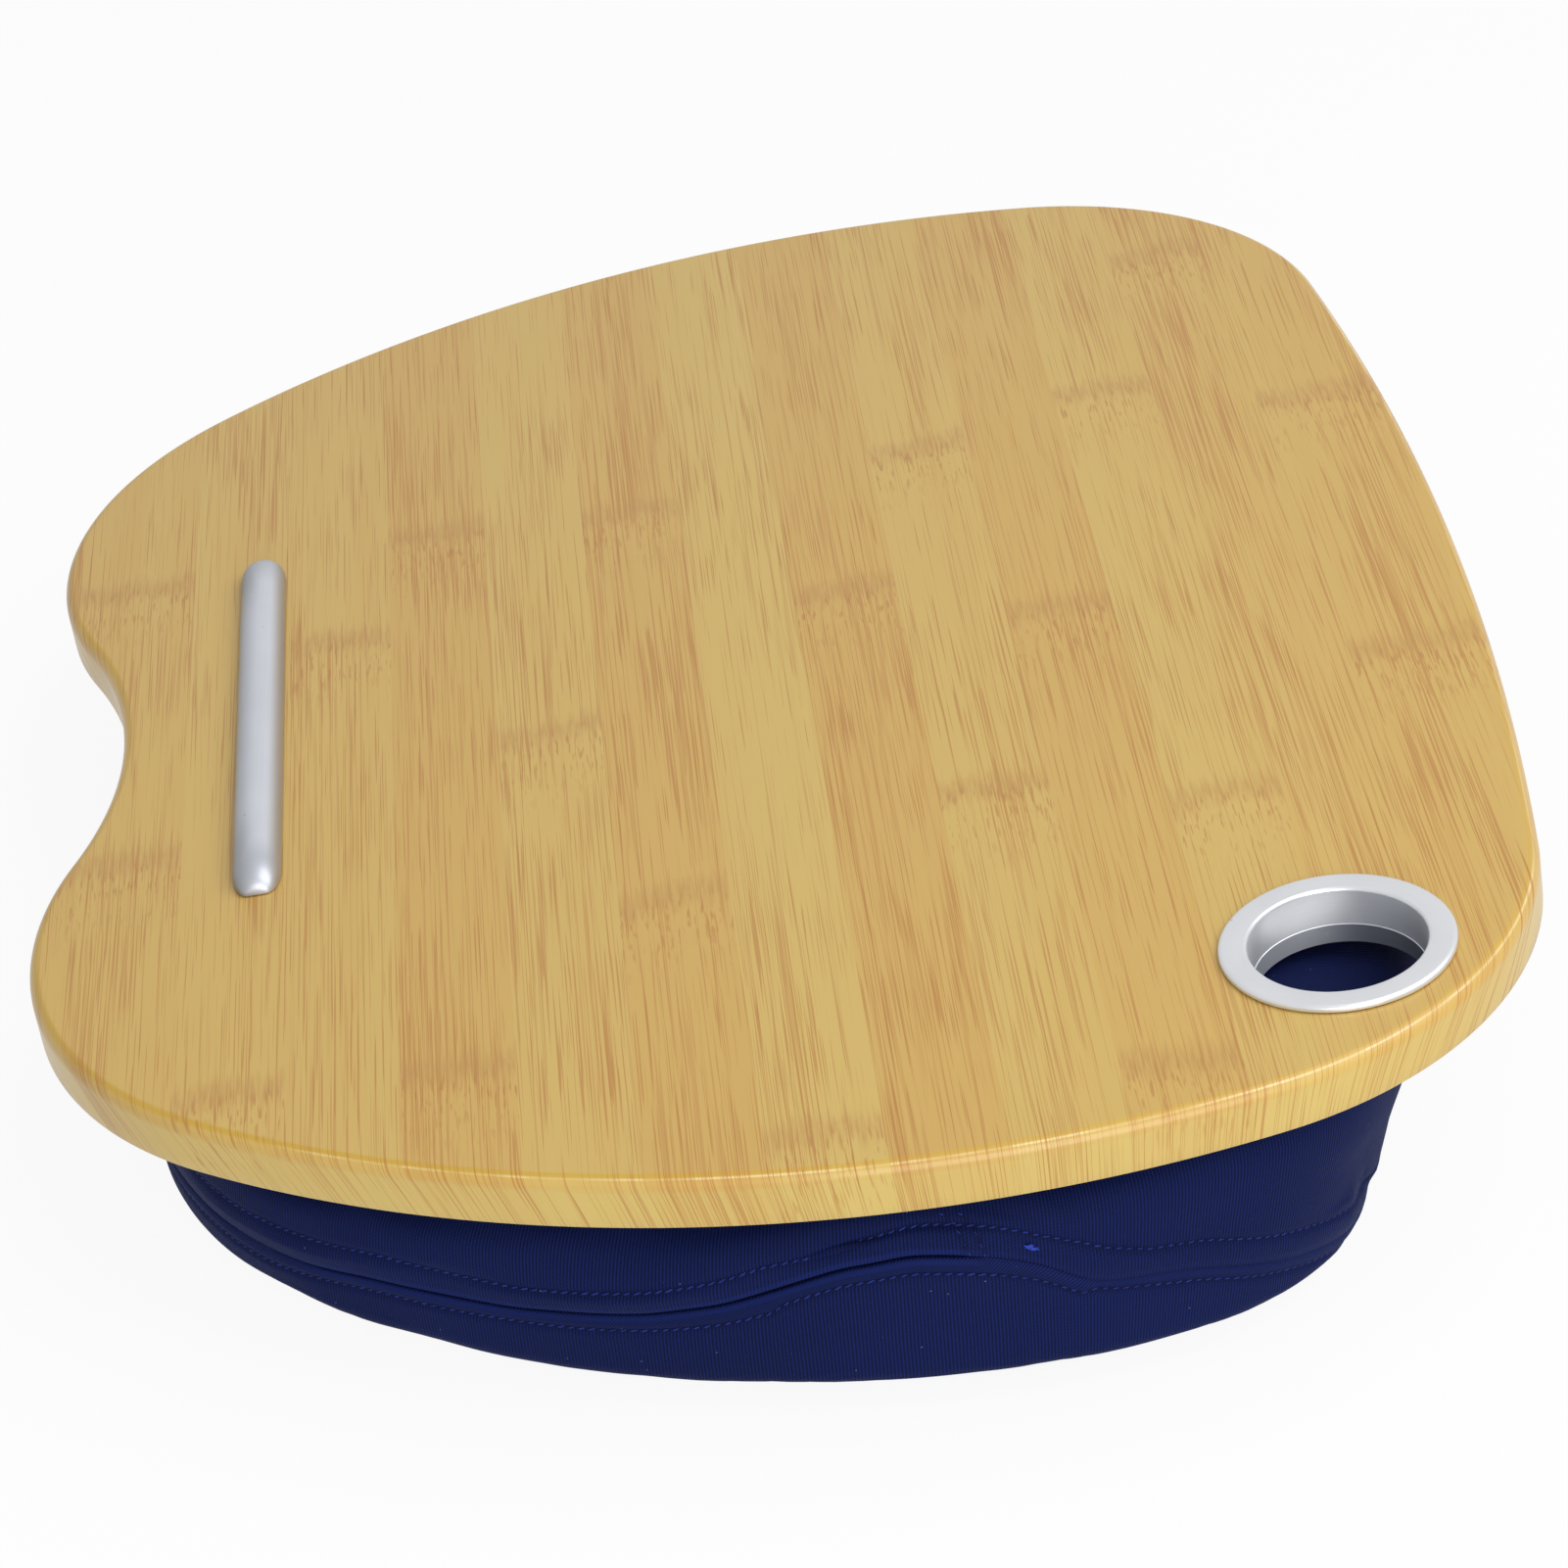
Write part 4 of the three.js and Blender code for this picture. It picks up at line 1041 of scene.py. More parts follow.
@dataclass
class Seam:
    """The seam round the cushion: a zip that rises in a wave on the right, sewn shut elsewhere."""

    wave: tuple[Point, ...] = (
        (-128.0, 17.6),
        (-112.0, 19.15),
        (-103.0, 20.75),
        (-97.0, 21.0),
        (-72.0, 22.1),
        (-45.0, 25.0),
        (-30.0, 28.4),
        (-17.5, 33.0),
        (-11.0, 35.5),
        (-5.0, 37.6),
        (0.0, 38.2),
        (8.5, 39.7),
        (11.5, 39.45),
        (18.0, 38.7),
        (27.0, 37.0),
        (37.0, 33.2),
        (43.0, 29.2),
        (48.0, 27.0),
    )
    far_wave: tuple[Point, ...] = (
        (-123.0, 17.4),
        (24.0, 42.2),
        (34.0, 38.5),
        (44.0, 29.0),
        (51.0, 26.5),
    )
    back_wave: tuple[Point, ...] = (
        (60.0, 25.8),
        (72.0, 24.3),
        (80.0, 21.9),
        (92.0, 18.3),
        (103.0, 15.0),
        (110.0, 12.6),
        (116.0, 10.6),
        (124.0, 9.2),
    )
    fold_line: tuple[Point, ...] = ((114.0, 22.8), (118.5, 17.5), (123.5, 9.8))
    closing_rows: tuple[tuple[Point, ...], ...] = (
        ((16.1, 9.5), (18.1, 7.7), (19.3, 5.0), (20.7, 0.9)),
        ((20.1, 9.6), (22.2, 6.6), (23.9, 0.8)),
    )
    zip_from: float = -119.0
    zip_to: float = 24.0
    upper_row: tuple[Point, ...] = (
        (-125.0, 8.0),
        (-98.0, 7.0),
        (-72.0, 5.8),
        (-21.0, 6.2),
        (-15.5, 5.2),
        (-12.0, 4.6),
        (-6.5, 4.6),
        (-3.0, 5.2),
        (10.0, 6.8),
        (15.0, 7.2),
        (36.0, 7.1),
        (45.0, 8.6),
        (60.0, 6.6),
    )
    lower_row: tuple[Point, ...] = (
        (-125.0, 3.6),
        (-72.0, 3.9),
        (-20.0, 5.4),
        (-17.5, 4.2),
        (18.0, 4.4),
        (45.0, 4.2),
        (48.0, 2.6),
        (70.0, 3.4),
    )
    zip_end: float = 6.0
    smoothing: float = 2.6
    corner_x: float = 95.0
    corner_width: float = 40.0

    def height(self, points: np.ndarray) -> np.ndarray:
        """Height of the seam at places on the outline.

        Args:
            points: Places in plan, in millimetres.

        Returns:
            The seam's heights.
        """
        dense = np.arange(-200.0, 200.0, 1.0)
        lines = []
        for table in (self.wave, self.far_wave):
            ys, zs = np.array(table + self.back_wave).T
            line = np.interp(dense, ys, zs)
            weights = np.exp(-0.5 * (np.arange(-9, 10) / self.smoothing) ** 2)
            padded = np.pad(line, 9, mode="edge")
            lines.append(np.convolve(padded, weights / weights.sum(), mode="valid"))
        right = np.interp(points[:, 1], dense, lines[0])
        left = np.interp(points[:, 1], dense, lines[1])
        return np.where(points[:, 0] > 0.0, right, left)

    def row(self, table: Sequence[Point], points: np.ndarray) -> np.ndarray:
        """Distance of a row of stitches from the seam at places on the outline."""
        ys, offsets = np.array(table).T
        return np.interp(points[:, 1], ys, offsets)

    def corner(self, points: np.ndarray, begin: float, length: float) -> np.ndarray:
        """One at the back right corner, fading to zero along the side.

        Args:
            points: Places in plan, in millimetres.
            begin: Y at which the corner begins.
            length: Length in Y over which it comes in.

        Returns:
            The share of the corner at each place.
        """
        x, y = points.T
        return ease(y, begin, length) * ease(x, self.corner_x, self.corner_width)

    def fold(self, points: np.ndarray) -> np.ndarray:
        """Run up from the seam to the edge of the fold that hangs over the band at the corner."""
        ys, zs = np.array(self.fold_line).T
        return np.interp(points[:, 1], ys, zs) - self.height(points)

    def zipped(self, points: np.ndarray) -> np.ndarray:
        """One along the zip's slit and zero where the seam is sewn shut.

        Args:
            points: Places in plan, in millimetres.

        Returns:
            A share from 0 to 1 for each place.
        """
        y = points[:, 1]
        inside = slope(y, self.zip_from, self.zip_end) * slope(-y, -self.zip_to, self.zip_end)
        return np.where(points[:, 0] > 0.0, inside, 0.0)


@dataclass
class Sections:
    """Upright sections of the cushion at stations round its outline.

    Each station has its distance round the outline, its point and outward normal in plan, and its
    section from underside to top: outward offsets, heights, and runs counted from the seam.
    """

    distance: np.ndarray
    points: np.ndarray
    normals: np.ndarray
    offsets: np.ndarray
    heights: np.ndarray
    runs: np.ndarray

    def share(self, up: np.ndarray) -> np.ndarray:
        """Runs up from the seam as shares: -1 at the underside, 0 at the seam, 1 at the top."""
        return np.where(up < 0.0, -up / self.runs[None, :, 0], up / self.runs[None, :, -1])

    def place(self, station: int, up: np.ndarray) -> np.ndarray:
        """Outward offsets and heights at runs up one station's section."""
        lines = (self.offsets[station], self.heights[station])
        return np.stack([np.interp(up, self.runs[station], line) for line in lines])


@dataclass
class Swelling:
    """How far the cover swells outward, at even stations round it and even shares up it."""

    stations: np.ndarray
    shares: np.ndarray
    moved: np.ndarray

    def at(self, along: np.ndarray, share: np.ndarray) -> np.ndarray:
        """Swelling between the known places.

        Args:
            along: For each column, its place round the outline from 0 to 1.
            share: For each row and column, its share from -1 to 1.

        Returns:
            The swelling of each row and column, in millimetres.
        """
        row_at = (np.clip(share, -1.0, 1.0) + 1.0) * 0.5 * (len(self.shares) - 1)
        row = np.clip(np.floor(row_at).astype(int), 0, len(self.shares) - 2)
        up_share = row_at - row
        column_at = along * len(self.stations)
        column = np.floor(column_at).astype(int) % len(self.stations)
        following = (column + 1) % len(self.stations)
        on_share = (column_at - np.floor(column_at))[None, :]
        first, second = (
            self.moved[row, c] * (1 - up_share) + self.moved[row + 1, c] * up_share
            for c in (column[None, :], following[None, :])
        )
        return first * (1 - on_share) + second * on_share


CLOTH_SETTINGS = {
    "quality": 6,
    "mass": 0.15,
    "tension_stiffness": 22.0,
    "compression_stiffness": 22.0,
    "shear_stiffness": 8.0,
    "bending_stiffness": 0.6,
    "use_pressure": True,
    "uniform_pressure_force": 4.0,
    "vertex_group_mass": "held",
    "vertex_group_shrink": "shrunk",
    "shrink_min": -0.05,
    "shrink_max": 0.01,
}


@dataclass
class Cushion:
    """The bead cushion: a sewn cover, swollen by a cloth simulation, and its filled bag."""

    back_y: float = 138.3
    arcs: tuple[Point, ...] = ((900.0, 9.95), (63.0, 63.5), (214.0, 55.6), (99.0, 67.7))
    floor_in: float = 12.5
    floor_up: float = 9.5
    top_in: float = 8.0
    top_down: float = 9.0
    crown_in: float = 38.0
    crown_rise: float = 3.0
    top_gap: float = 3.3
    lean: float = 11.0
    lean_from: float = 20.0
    lean_length: float = 100.0
    probe: float = 0.6
    thickness: float = 0.8
    slack: float = 1.5
    swell_cap: float = 3.2
    low_swell: float = 0.4
    high_swell: float = 0.8
    ring_swell: float = 3.0
    ring_x: float = 150.0
    ring_half: float = 45.0
    ring_y: float = 100.0
    ring_length: float = 20.0
    hem: tuple[Point, ...] = ((5.0, 2.0), (2.2, 2.0), (0.5, 1.6), (0.02, 1.0), (0.02, 0.4))
    close_band: float = 10.0
    close_rows: int = 18
    far_rows: int = 23
    flat_edge: float = 8.0
    bag_pitch: float = 6.0
    bag_rows: int = 26
    bag_inset: float = 3.0
    bag_slack: float = 9.0
    bag_lumps: float = 0.8
    lump_steps: Point = (0.21, 0.5)
    fold_depth: float = 2.3
    fold_corner: Point = (110.5, 6.0)
    roll_corner: Point = (98.0, 16.0)
    band_corner: Point = (92.0, 16.0)
    fold_roll: float = 0.9
    fold_edge: float = 0.4
    fold_reach: float = 10.0
    roll_reach: float = 12.0
    band_roll: float = 0.3
    band_width: float = 9.0
    search_step: float = 0.5
    side_x: float = 180.0
    fine_x: float = 60.0
    fine_y: Point = (-165.0, 118.0)
    fine_pitch: float = 1.0
    coarse_pitch: float = 3.5
    cloth_pitch: float = 5.0
    cloth_rows: int = 13
    frames: int = 20
    shrink_patch: float = 26.0
    swell_smoothing: float = 1.2
    thread_ends: int = 9
    row_depth: float = 0.58
    row_width: float = 0.85
    flap_rise: float = 0.62
    flap_wave: float = 0.14
    band_rise: float = 0.5
    band_wave: float = 0.1
    back_band: float = 0.35
    lip_rise: float = 0.35
    upper_lip: float = 1.5
    lower_lip: float = 1.2
    seam_gap: float = 0.10
    slit_gap: float = 0.52
    mark_width: float = 0.55
    thread_half: float = 0.4
    thread_lift: float = 0.2
    back_sink: float = 0.22
    sink_length: float = 8.0
    closing_sink: float = 0.16
    sewing_pitch: float = 1.5
    closing_points: int = 12
    # Least and most length, slant and curl of a thread end, and where it leaves the band.
    tuft_shape: tuple[tuple[float, ...], ...] = ((1.0, 0.05, -0.4), (2.4, 0.75, 0.4))
    tuft_place: tuple[Point, Point] = ((32.2, 3.9), (33.2, 4.5))
    tuft_points: int = 7
    tuft_lift: float = 0.5
    tuft_radius: float = 0.13
    zip_back_y: float = 24.0
    step_y: float = 46.0
    seam: Seam = field(default_factory=Seam)

    def __post_init__(self) -> None:
        """Places the outline."""
        self.outline = Outline(self.back_y, self.arcs)
        self.length = 2.0 * self.outline.half

    def crown(self, y: np.ndarray) -> np.ndarray:
        """Height of the cushion's top under the tilted board."""
        return BOARD_HEIGHT + y * math.tan(BOARD_TILT) - self.top_gap / math.cos(BOARD_TILT)

    def profile(self, y: float) -> np.ndarray:
        """The upright section at one place: outward offset and height from underside to top.

        Args:
            y: The place on the outline, by its Y.

        Returns:
            Offsets and heights, as two columns.
        """
        crown = float(self.crown(np.array(y)))
        rows: list[Point] = []
        for share in np.linspace(1.0, 0.0, 9)[:-1]:
            inset = self.floor_in + (self.crown_in - self.floor_in) * share
            rows.append((-inset, self.crown_rise * (1 - share) ** 2))
        for angle in np.linspace(0.0, math.pi / 2, 13):
            rise = self.crown_rise + (self.floor_up - self.crown_rise) * (1.0 - math.cos(angle))
            rows.append((-self.floor_in * (1.0 - math.sin(angle)), rise))
        for angle in np.linspace(0.0, math.pi / 2, 13):
            down = self.crown_rise + self.top_down * (1.0 - math.sin(angle))
            rows.append((-self.top_in * (1.0 - math.cos(angle)), crown - down))
        for share in np.linspace(0.0, 1.0, 9)[1:]:
            inset = self.top_in + (self.crown_in - self.top_in) * share
            rows.append((-inset, crown - self.crown_rise * (1 - share) ** 2))
        return np.array(rows)

    def sections(self, distance: np.ndarray) -> Sections:
        """Works out everything that the panels need at stations round the outline.

        Args:
            distance: Stations as distances round the outline.

        Returns:
            The stations' sections.
        """
        points, normals = self.outline.at(distance)
        seam = self.seam.height(points)
        rows = [self.profile(y) for y in points[:, 1]]
        offsets = np.stack([r[:, 0] for r in rows])
        heights = np.stack([r[:, 1] for r in rows])
        steps = np.hypot(np.diff(offsets, axis=1), np.diff(heights, axis=1))
        runs = np.concatenate([np.zeros((len(points), 1)), np.cumsum(steps, axis=1)], axis=1)
        start = np.array([np.interp(s, h, r) for s, h, r in zip(seam, heights, runs)])
        return Sections(distance, points, normals, offsets, heights, runs - start[:, None])

    def lay(self, sections: Sections, up: np.ndarray, outward: np.ndarray) -> np.ndarray:
        """Places points on the cushion.

        Args:
            sections: Stations from the sections method.
            up: For each row and station, the run up the section from the seam.
            outward: For each row and station, how far the point stands off the section.

        Returns:
            Points as an array of rows, stations and three coordinates.
        """
        rows, columns = up.shape
        result = np.zeros((rows, columns, 3))
        for c in range(columns):
            offset, height = sections.place(c, up[:, c])
            ahead, behind = up[:, c] + self.probe, up[:, c] - self.probe
            out, rise = sections.place(c, ahead) - sections.place(c, behind)
            size = np.maximum(np.hypot(out, rise), TINY)
            offset = offset + outward[:, c] * rise / size
            height = height - outward[:, c] * out / size
            plan = sections.points[c] + sections.normals[c] * offset[:, None]
            low = np.clip(1.0 - height / self.crown(plan[:, 1]), 0.0, 1.0)
            plan[:, 1] -= self.lean * low * ease(plan[:, 1], self.lean_from, self.lean_length)
            result[:, c, :2] = plan
            result[:, c, 2] = height
        return result

    def swell(self) -> Swelling:
        """Blows the cover out with a cloth simulation, held at the seam, the floor and the board.

        Returns:
            How far each point of the cover moved outward.
        """
        count = round(self.length / self.cloth_pitch)
        stations = np.arange(count) * self.length / count
        sections = self.sections(stations)
        shares = np.linspace(-1.0, 1.0, 2 * self.cloth_rows - 1)
        low, high = sections.runs[:, 0], sections.runs[:, -1]
        column = shares[:, None]
        up = np.where(column < 0.0, -column * low[None, :], column * high[None, :])
        fade = np.sin(np.pi * np.abs(shares)) ** 0.7
        start = -self.slack * np.ones_like(up) * np.maximum(fade, 0.35)[:, None]
        start[0], start[-1] = 0.0, 0.0
        base = self.lay(sections, up, start)
        skin = Skin()
        skin.grid(base, None, closed=True, flip=True)
        skin.faces.append(list(range(count)))
        skin.faces.append(list(range((len(shares) - 1) * count, len(shares) * count))[::-1])
        cloth = skin.piece("swelling_cover")
        held = cloth.vertex_groups.new(name="held")
        shrunk = cloth.vertex_groups.new(name="shrunk")
        middle = self.cloth_rows - 1
        for r in range(len(shares)):
            for c in range(count):
                number = r * count + c
                if r in (0, 1, middle, len(shares) - 2, len(shares) - 1):
                    held.add([number], 1.0, "REPLACE")
                x, y, z = base[r, c] / self.shrink_patch
                weight = 0.5 + 0.5 * noise.noise(Vector((x, y, z * 1.6 + 4.2)))
                shrunk.add([number], min(max(weight, 0.0), 1.0), "REPLACE")
        modifier = cloth.modifiers.new("cloth", "CLOTH")
        for label, setting in CLOTH_SETTINGS.items():
            setattr(modifier.settings, label, setting)
        modifier.settings.effector_weights.gravity = 0.0
        modifier.collision_settings.use_collision = False
        modifier.point_cache.frame_start = 1
        modifier.point_cache.frame_end = self.frames
        scene = bpy.context.scene
        for number in range(1, self.frames + 1):
            scene.frame_set(number)
        solved = cloth.evaluated_get(bpy.context.evaluated_depsgraph_get())
        ends, begins, normals = (np.zeros(base.size) for _ in range(3))
        solved.data.vertices.foreach_get("co", ends)
        cloth.data.vertices.foreach_get("co", begins)
        cloth.data.vertices.foreach_get("normal", normals)
        moved = ((ends - begins) * normals).reshape(-1, 3).sum(axis=1) / MM
        scene.frame_set(1)
        bpy.data.objects.remove(cloth)
        swollen = np.clip(moved.reshape(up.shape), -self.swell_cap, self.swell_cap) + start
        steps = range(-3, 4)
        weights = np.exp(-0.5 * (np.array(steps) / self.swell_smoothing) ** 2)
        weights /= weights.sum()
        swollen = sum(w * np.roll(swollen, k, axis=1) for k, w in zip(steps, weights))
        swollen *= np.where(shares < 0.0, self.low_swell, self.high_swell)[:, None]
        LOG.info("cover swelled by %.2f to %.2f mm", swollen.min(), swollen.max())
        return Swelling(stations, shares, swollen)

    def stations(self) -> np.ndarray:
        """Stations round the outline, close together along the zip side.

        Returns:
            The stations as distances round the outline.
        """
        along = np.arange(0.0, self.length, self.search_step)
        points, _ = self.outline.at(along)
        x, y = points.T
        near = (x > self.fine_x) & (y > self.fine_y[0]) & (y < self.fine_y[1])
        density = np.where(near, 1.0 / self.fine_pitch, 1.0 / self.coarse_pitch)
        total = np.cumsum(density) * self.search_step
        count = int(total[-1])
        even = np.arange(count) * total[-1] / count
        return np.interp(even, [0.0, *total], [*along, self.length])

    def bulge(self, share: np.ndarray, start: float) -> np.ndarray:
        """A round bulge across a sewn strip, part-way up at its edge and flat at its stitches."""
        return np.sin(np.pi * np.clip(share * (1.0 - start) + start, 0.0, 1.0)) * (share < 1.0)

    def relief(self, sections: Sections, up: np.ndarray, swelling: Swelling) -> np.ndarray:
        """How far the cover stands off its section: swelling, sewn rows, band and the zip's lips.

        Args:
            sections: Stations from the sections method.
            up: For each row and station, the run up the section from the seam.
            swelling: The result of the swell method.

        Returns:
            The distance outward for each row and station, in millimetres.
        """
        points, distance = sections.points, sections.distance
        share = sections.share(up)
        swollen = swelling.at(distance / self.length, share)
        upper = self.seam.row(self.seam.upper_row, points)[None, :]
        lower = self.seam.row(self.seam.lower_row, points)[None, :]
        zipped = self.seam.zipped(points)[None, :]
        wave = np.sin(distance / 9.3)[None, :] + 0.6 * np.sin(distance / 4.1 + 1.3)[None, :]
        relief = -self.row_depth * bell(up - upper, self.row_width)
        relief -= self.row_depth * bell(up + lower, self.row_width)
        flap = self.bulge(np.clip(up / upper, 0.0, 1.0), 0.2)
        flap = flap * (self.flap_rise + self.flap_wave * wave)
        flap = flap + self.lip_rise * zipped * bell(up, self.upper_lip)
        in_front = (points[:, 0] > 0.0) & (points[:, 1] < self.step_y)
        before_step = np.where(in_front, 1.0, self.back_band)[None, :]
        band = self.bulge(np.clip(-up / lower, 0.0, 1.0), 0.15)
        band = band * (self.band_rise + self.band_wave * wave) * before_step * (up < 0.0)
        band = band - self.lip_rise * zipped * bell(up, self.lower_lip)
        relief += np.where(up > 0.0, flap, band)
        corner = self.seam.corner(points, *self.fold_corner)[None, :]
        fold = up - self.seam.fold(points)[None, :]
        below = 1.0 / (1.0 + np.exp(np.clip(fold / self.fold_edge, -40.0, 40.0)))
        on_wall = 1.0 - slope(share, 0.5, 0.2)
        relief -= corner * self.fold_depth * below * np.exp(np.minimum(fold, 0.0) / self.fold_reach)
        roll = self.fold_roll * (slope(fold, 0.0, self.roll_reach) - 0.7) * (1.0 - below) * on_wall
        relief += self.seam.corner(points, *self.roll_corner)[None, :] * roll
        band_end = self.seam.corner(points, *self.band_corner)[None, :]
        relief += band_end * self.band_roll * below * bell(up, self.band_width)
        x, y = points.T
        behind_ring = bell(x - self.ring_x, self.ring_half)
        behind_ring *= slope(y, self.ring_y, self.ring_length)
        under_board = slope(share, 0.2, 0.3) * (1.0 - slope(share, 0.62, 0.25))
        relief += self.ring_swell * behind_ring[None, :] * under_board
        return swollen + relief

    def panel(self, name: str, sign: float, swelling: Swelling) -> Piece:
        """Builds one panel of the cover, from its hem at the seam to the flat underside or top.

        Args:
            name: The piece's name.
            sign: One for the upper panel and minus one for the lower.
            swelling: The result of the swell method.

        Returns:
            The panel, as a closed skin.
        """
        sections = self.sections(self.stations())
        zipped = self.seam.zipped(sections.points)
        reach = np.abs(sections.runs[:, -1] if sign > 0.0 else sections.runs[:, 0])
        lip = self.seam_gap + self.slit_gap * zipped
        folded = [lip + back for back, _ in self.hem]
        close = [lip + run for run in np.linspace(0.0, self.close_band, self.close_rows)]
        shares = np.linspace(0.0, 1.0, self.far_rows + 1)[1:]
        far = [(lip + self.close_band) * (1 - share) + reach * share for share in shares]
        up = sign * np.stack([*folded, *close, *far])
        outward = np.zeros_like(up)
        outward[: len(self.hem)] = [[-depth] for _, depth in self.hem]
        # The hem stands off its section as the edge beside it does.
        beside = np.maximum(np.arange(len(up)), len(self.hem))
        standing = self.relief(sections, up[beside], swelling)
        fade = slope(reach[None, :] - np.abs(up), 0.0, self.flat_edge)
        grid = self.lay(sections, up, outward + standing * fade)
        uvs = np.stack([np.broadcast_to(sections.distance, up.shape), up], axis=2) * MM
        skin = Skin()
        around = np.concatenate([grid, grid[:, :1]], axis=1)
        skin.grid(around, self.whole_turn(uvs), closed=False, flip=sign > 0.0)
        # The sewing marks set the fabric's painted shade along the stitch rows and its painted
        # highlights by the slit.
        slit = np.broadcast_to(zipped, up.shape)
        marks = np.stack([self.sewn(sections, up), slit, np.zeros_like(up)], axis=2)
        marks = np.concatenate([marks, marks[:, :1]], axis=1)
        skin.marks.extend(map(tuple, marks.reshape(-1, 3)))
        columns = grid.shape[1] + 1
        last = (grid.shape[0] - 1) * columns
        skin.cap([list(range(last, last + columns - 1))], flip=sign < 0.0)
        piece = skin.piece(name, sharp=70.0)
        piece.modifiers.new("join", "WELD").merge_threshold = TINY
        wall = piece.modifiers.new("wall", "SOLIDIFY")
        wall.thickness = self.thickness * MM
        wall.offset = -1.0
        settle(piece)
        return piece

    def sewn(self, sections: Sections, up: np.ndarray) -> np.ndarray:
        """How close points lie to a row of stitches: one on the thread, falling off beside it; the
        fabric gets painted shade by it.

        Args:
            sections: Stations from the sections method.
            up: For each row and station, the run up the section from the seam.

        Returns:
            A share from 0 to 1 for each row and station.
        """
        points = sections.points
        upper = self.seam.row(self.seam.upper_row, points)[None, :]
        lower = self.seam.row(self.seam.lower_row, points)[None, :]
        gap = np.minimum(np.abs(up - upper), np.abs(up + lower))
        for path in self.seam.closing_rows:
            ys, ups = np.array(path)[::-1].T
            beside = np.abs(points[:, 1][None, :] - np.interp(up, ups, ys))
            along = (up > ups[0]) & (up < ups[-1]) & (points[:, 0] > 0.0)[None, :]
            gap = np.where(along, np.minimum(gap, beside), gap)
        return bell(gap, self.mark_width)

    def whole_turn(self, uvs: np.ndarray) -> np.ndarray:
        """Repeats the first column after the last, one whole turn further along.

        Args:
            uvs: UV places of rows and columns, in metres.

        Returns:
            The UV places with one more column.
        """
        turn = uvs[:, :1].copy()
        turn[:, :, 0] += self.length * MM
        return np.concatenate([uvs, turn], axis=1)

    def build(self) -> None:
        """Makes the cover's two panels, the bag inside and the sewing."""
        swelling = self.swell()
        fabric = RibbedFabric().material("navy_fabric")
        panels = (("cover_top_panel", 1.0, "cover_upper"), ("cover_low_panel", -1.0, "cover_lower"))
        for name, sign, node in panels:
            piece = self.panel(name, sign, swelling)
            finish_piece(piece, Body.CUSHION, fabric, [node])
        self.bag()
        self.sew(swelling)

    def bag(self) -> None:
        """The filled bag inside the cover, lumpy from its beads."""
        stations = np.arange(0.0, self.length, self.bag_pitch)
        sections = self.sections(stations)
        shares = np.linspace(0.0, 1.0, self.bag_rows)
        low, high = sections.runs[:, 0], sections.runs[:, -1]
        up = low[None, :] + (high - low)[None, :] * shares[:, None]
        along, upward = self.lump_steps
        lumps = np.array(
            [
                [noise.noise(Vector((c * along, r * upward, 7.7))) for c in range(len(stations))]
                for r in range(len(shares))
            ]
        )
        belly = np.sin(np.pi * shares)
        inset = self.bag_inset + self.bag_slack * belly**0.5
        grid = self.lay(sections, up, -inset[:, None] + self.bag_lumps * lumps * belly[:, None])
        skin = Skin()
        skin.grid(grid, None, closed=True, flip=True)
        count = len(stations)
        skin.cap([list(range(count))], flip=True)
        skin.cap([list(range((len(shares) - 1) * count, len(shares) * count))])
        piece = skin.piece("filled_bag")
        finish_piece(piece, Body.CUSHION, LINING.material("bag_lining"), ["bead_bag"])

    def sew(self, swelling: Swelling) -> None:
        """Sews the rows along the seam, the slanting rows that close the zip and a loose thread.

        Args:
            swelling: The result of the swell method.
        """
        tree = StitchTree("sewn_row")
        thread = THREAD.material("navy_thread")
        stations = np.arange(0.0, self.length, self.sewing_pitch)
        sections = self.sections(stations)
        upper = self.seam.row(self.seam.upper_row, sections.points)
        lower = -self.seam.row(self.seam.lower_row, sections.points)
        x, y = sections.points.T
        behind_zip = slope(y, self.zip_back_y, self.sink_length) * (x > 0.0)
        lift = self.thread_lift - self.back_sink * behind_zip
        paths = []
        for run in (upper, lower):
            rows = np.stack([run - self.thread_half, run, run + self.thread_half])
            laid = self.lay(sections, rows, self.relief(sections, rows, swelling) + lift[None, :])
            paths.append(np.concatenate([laid, laid[:, :1]], axis=1))
        for path in self.seam.closing_rows:
            corners = np.linspace(0.0, 1.0, len(path))
            even = np.linspace(0.0, 1.0, self.closing_points)
            ys, ups = (np.interp(even, corners, values) for values in np.array(path).T)
            part = self.sections(self.side_distance(ys))
            rows = np.stack([ups - self.thread_half, ups, ups + self.thread_half])
            standing = self.relief(part, rows, swelling) - self.closing_sink
            paths.append(self.lay(part, rows, standing))
        piece = tree.sew("stitches", paths, thread)
        finish_piece(piece, Body.CUSHION, thread)
        self.loose_thread(swelling)

    def side_distance(self, ys: np.ndarray) -> np.ndarray:
        """Distances round the outline at which the right side reaches given Y places.

        Args:
            ys: The places, in millimetres.

        Returns:
            Their distances round the outline.
        """
        right = np.arange(0.0, self.outline.half, self.search_step)
        places, _ = self.outline.at(right)
        side = places[:, 0] > self.side_x
        order = np.argsort(places[side][:, 1])
        return np.interp(ys, places[side][:, 1][order], right[side][order])

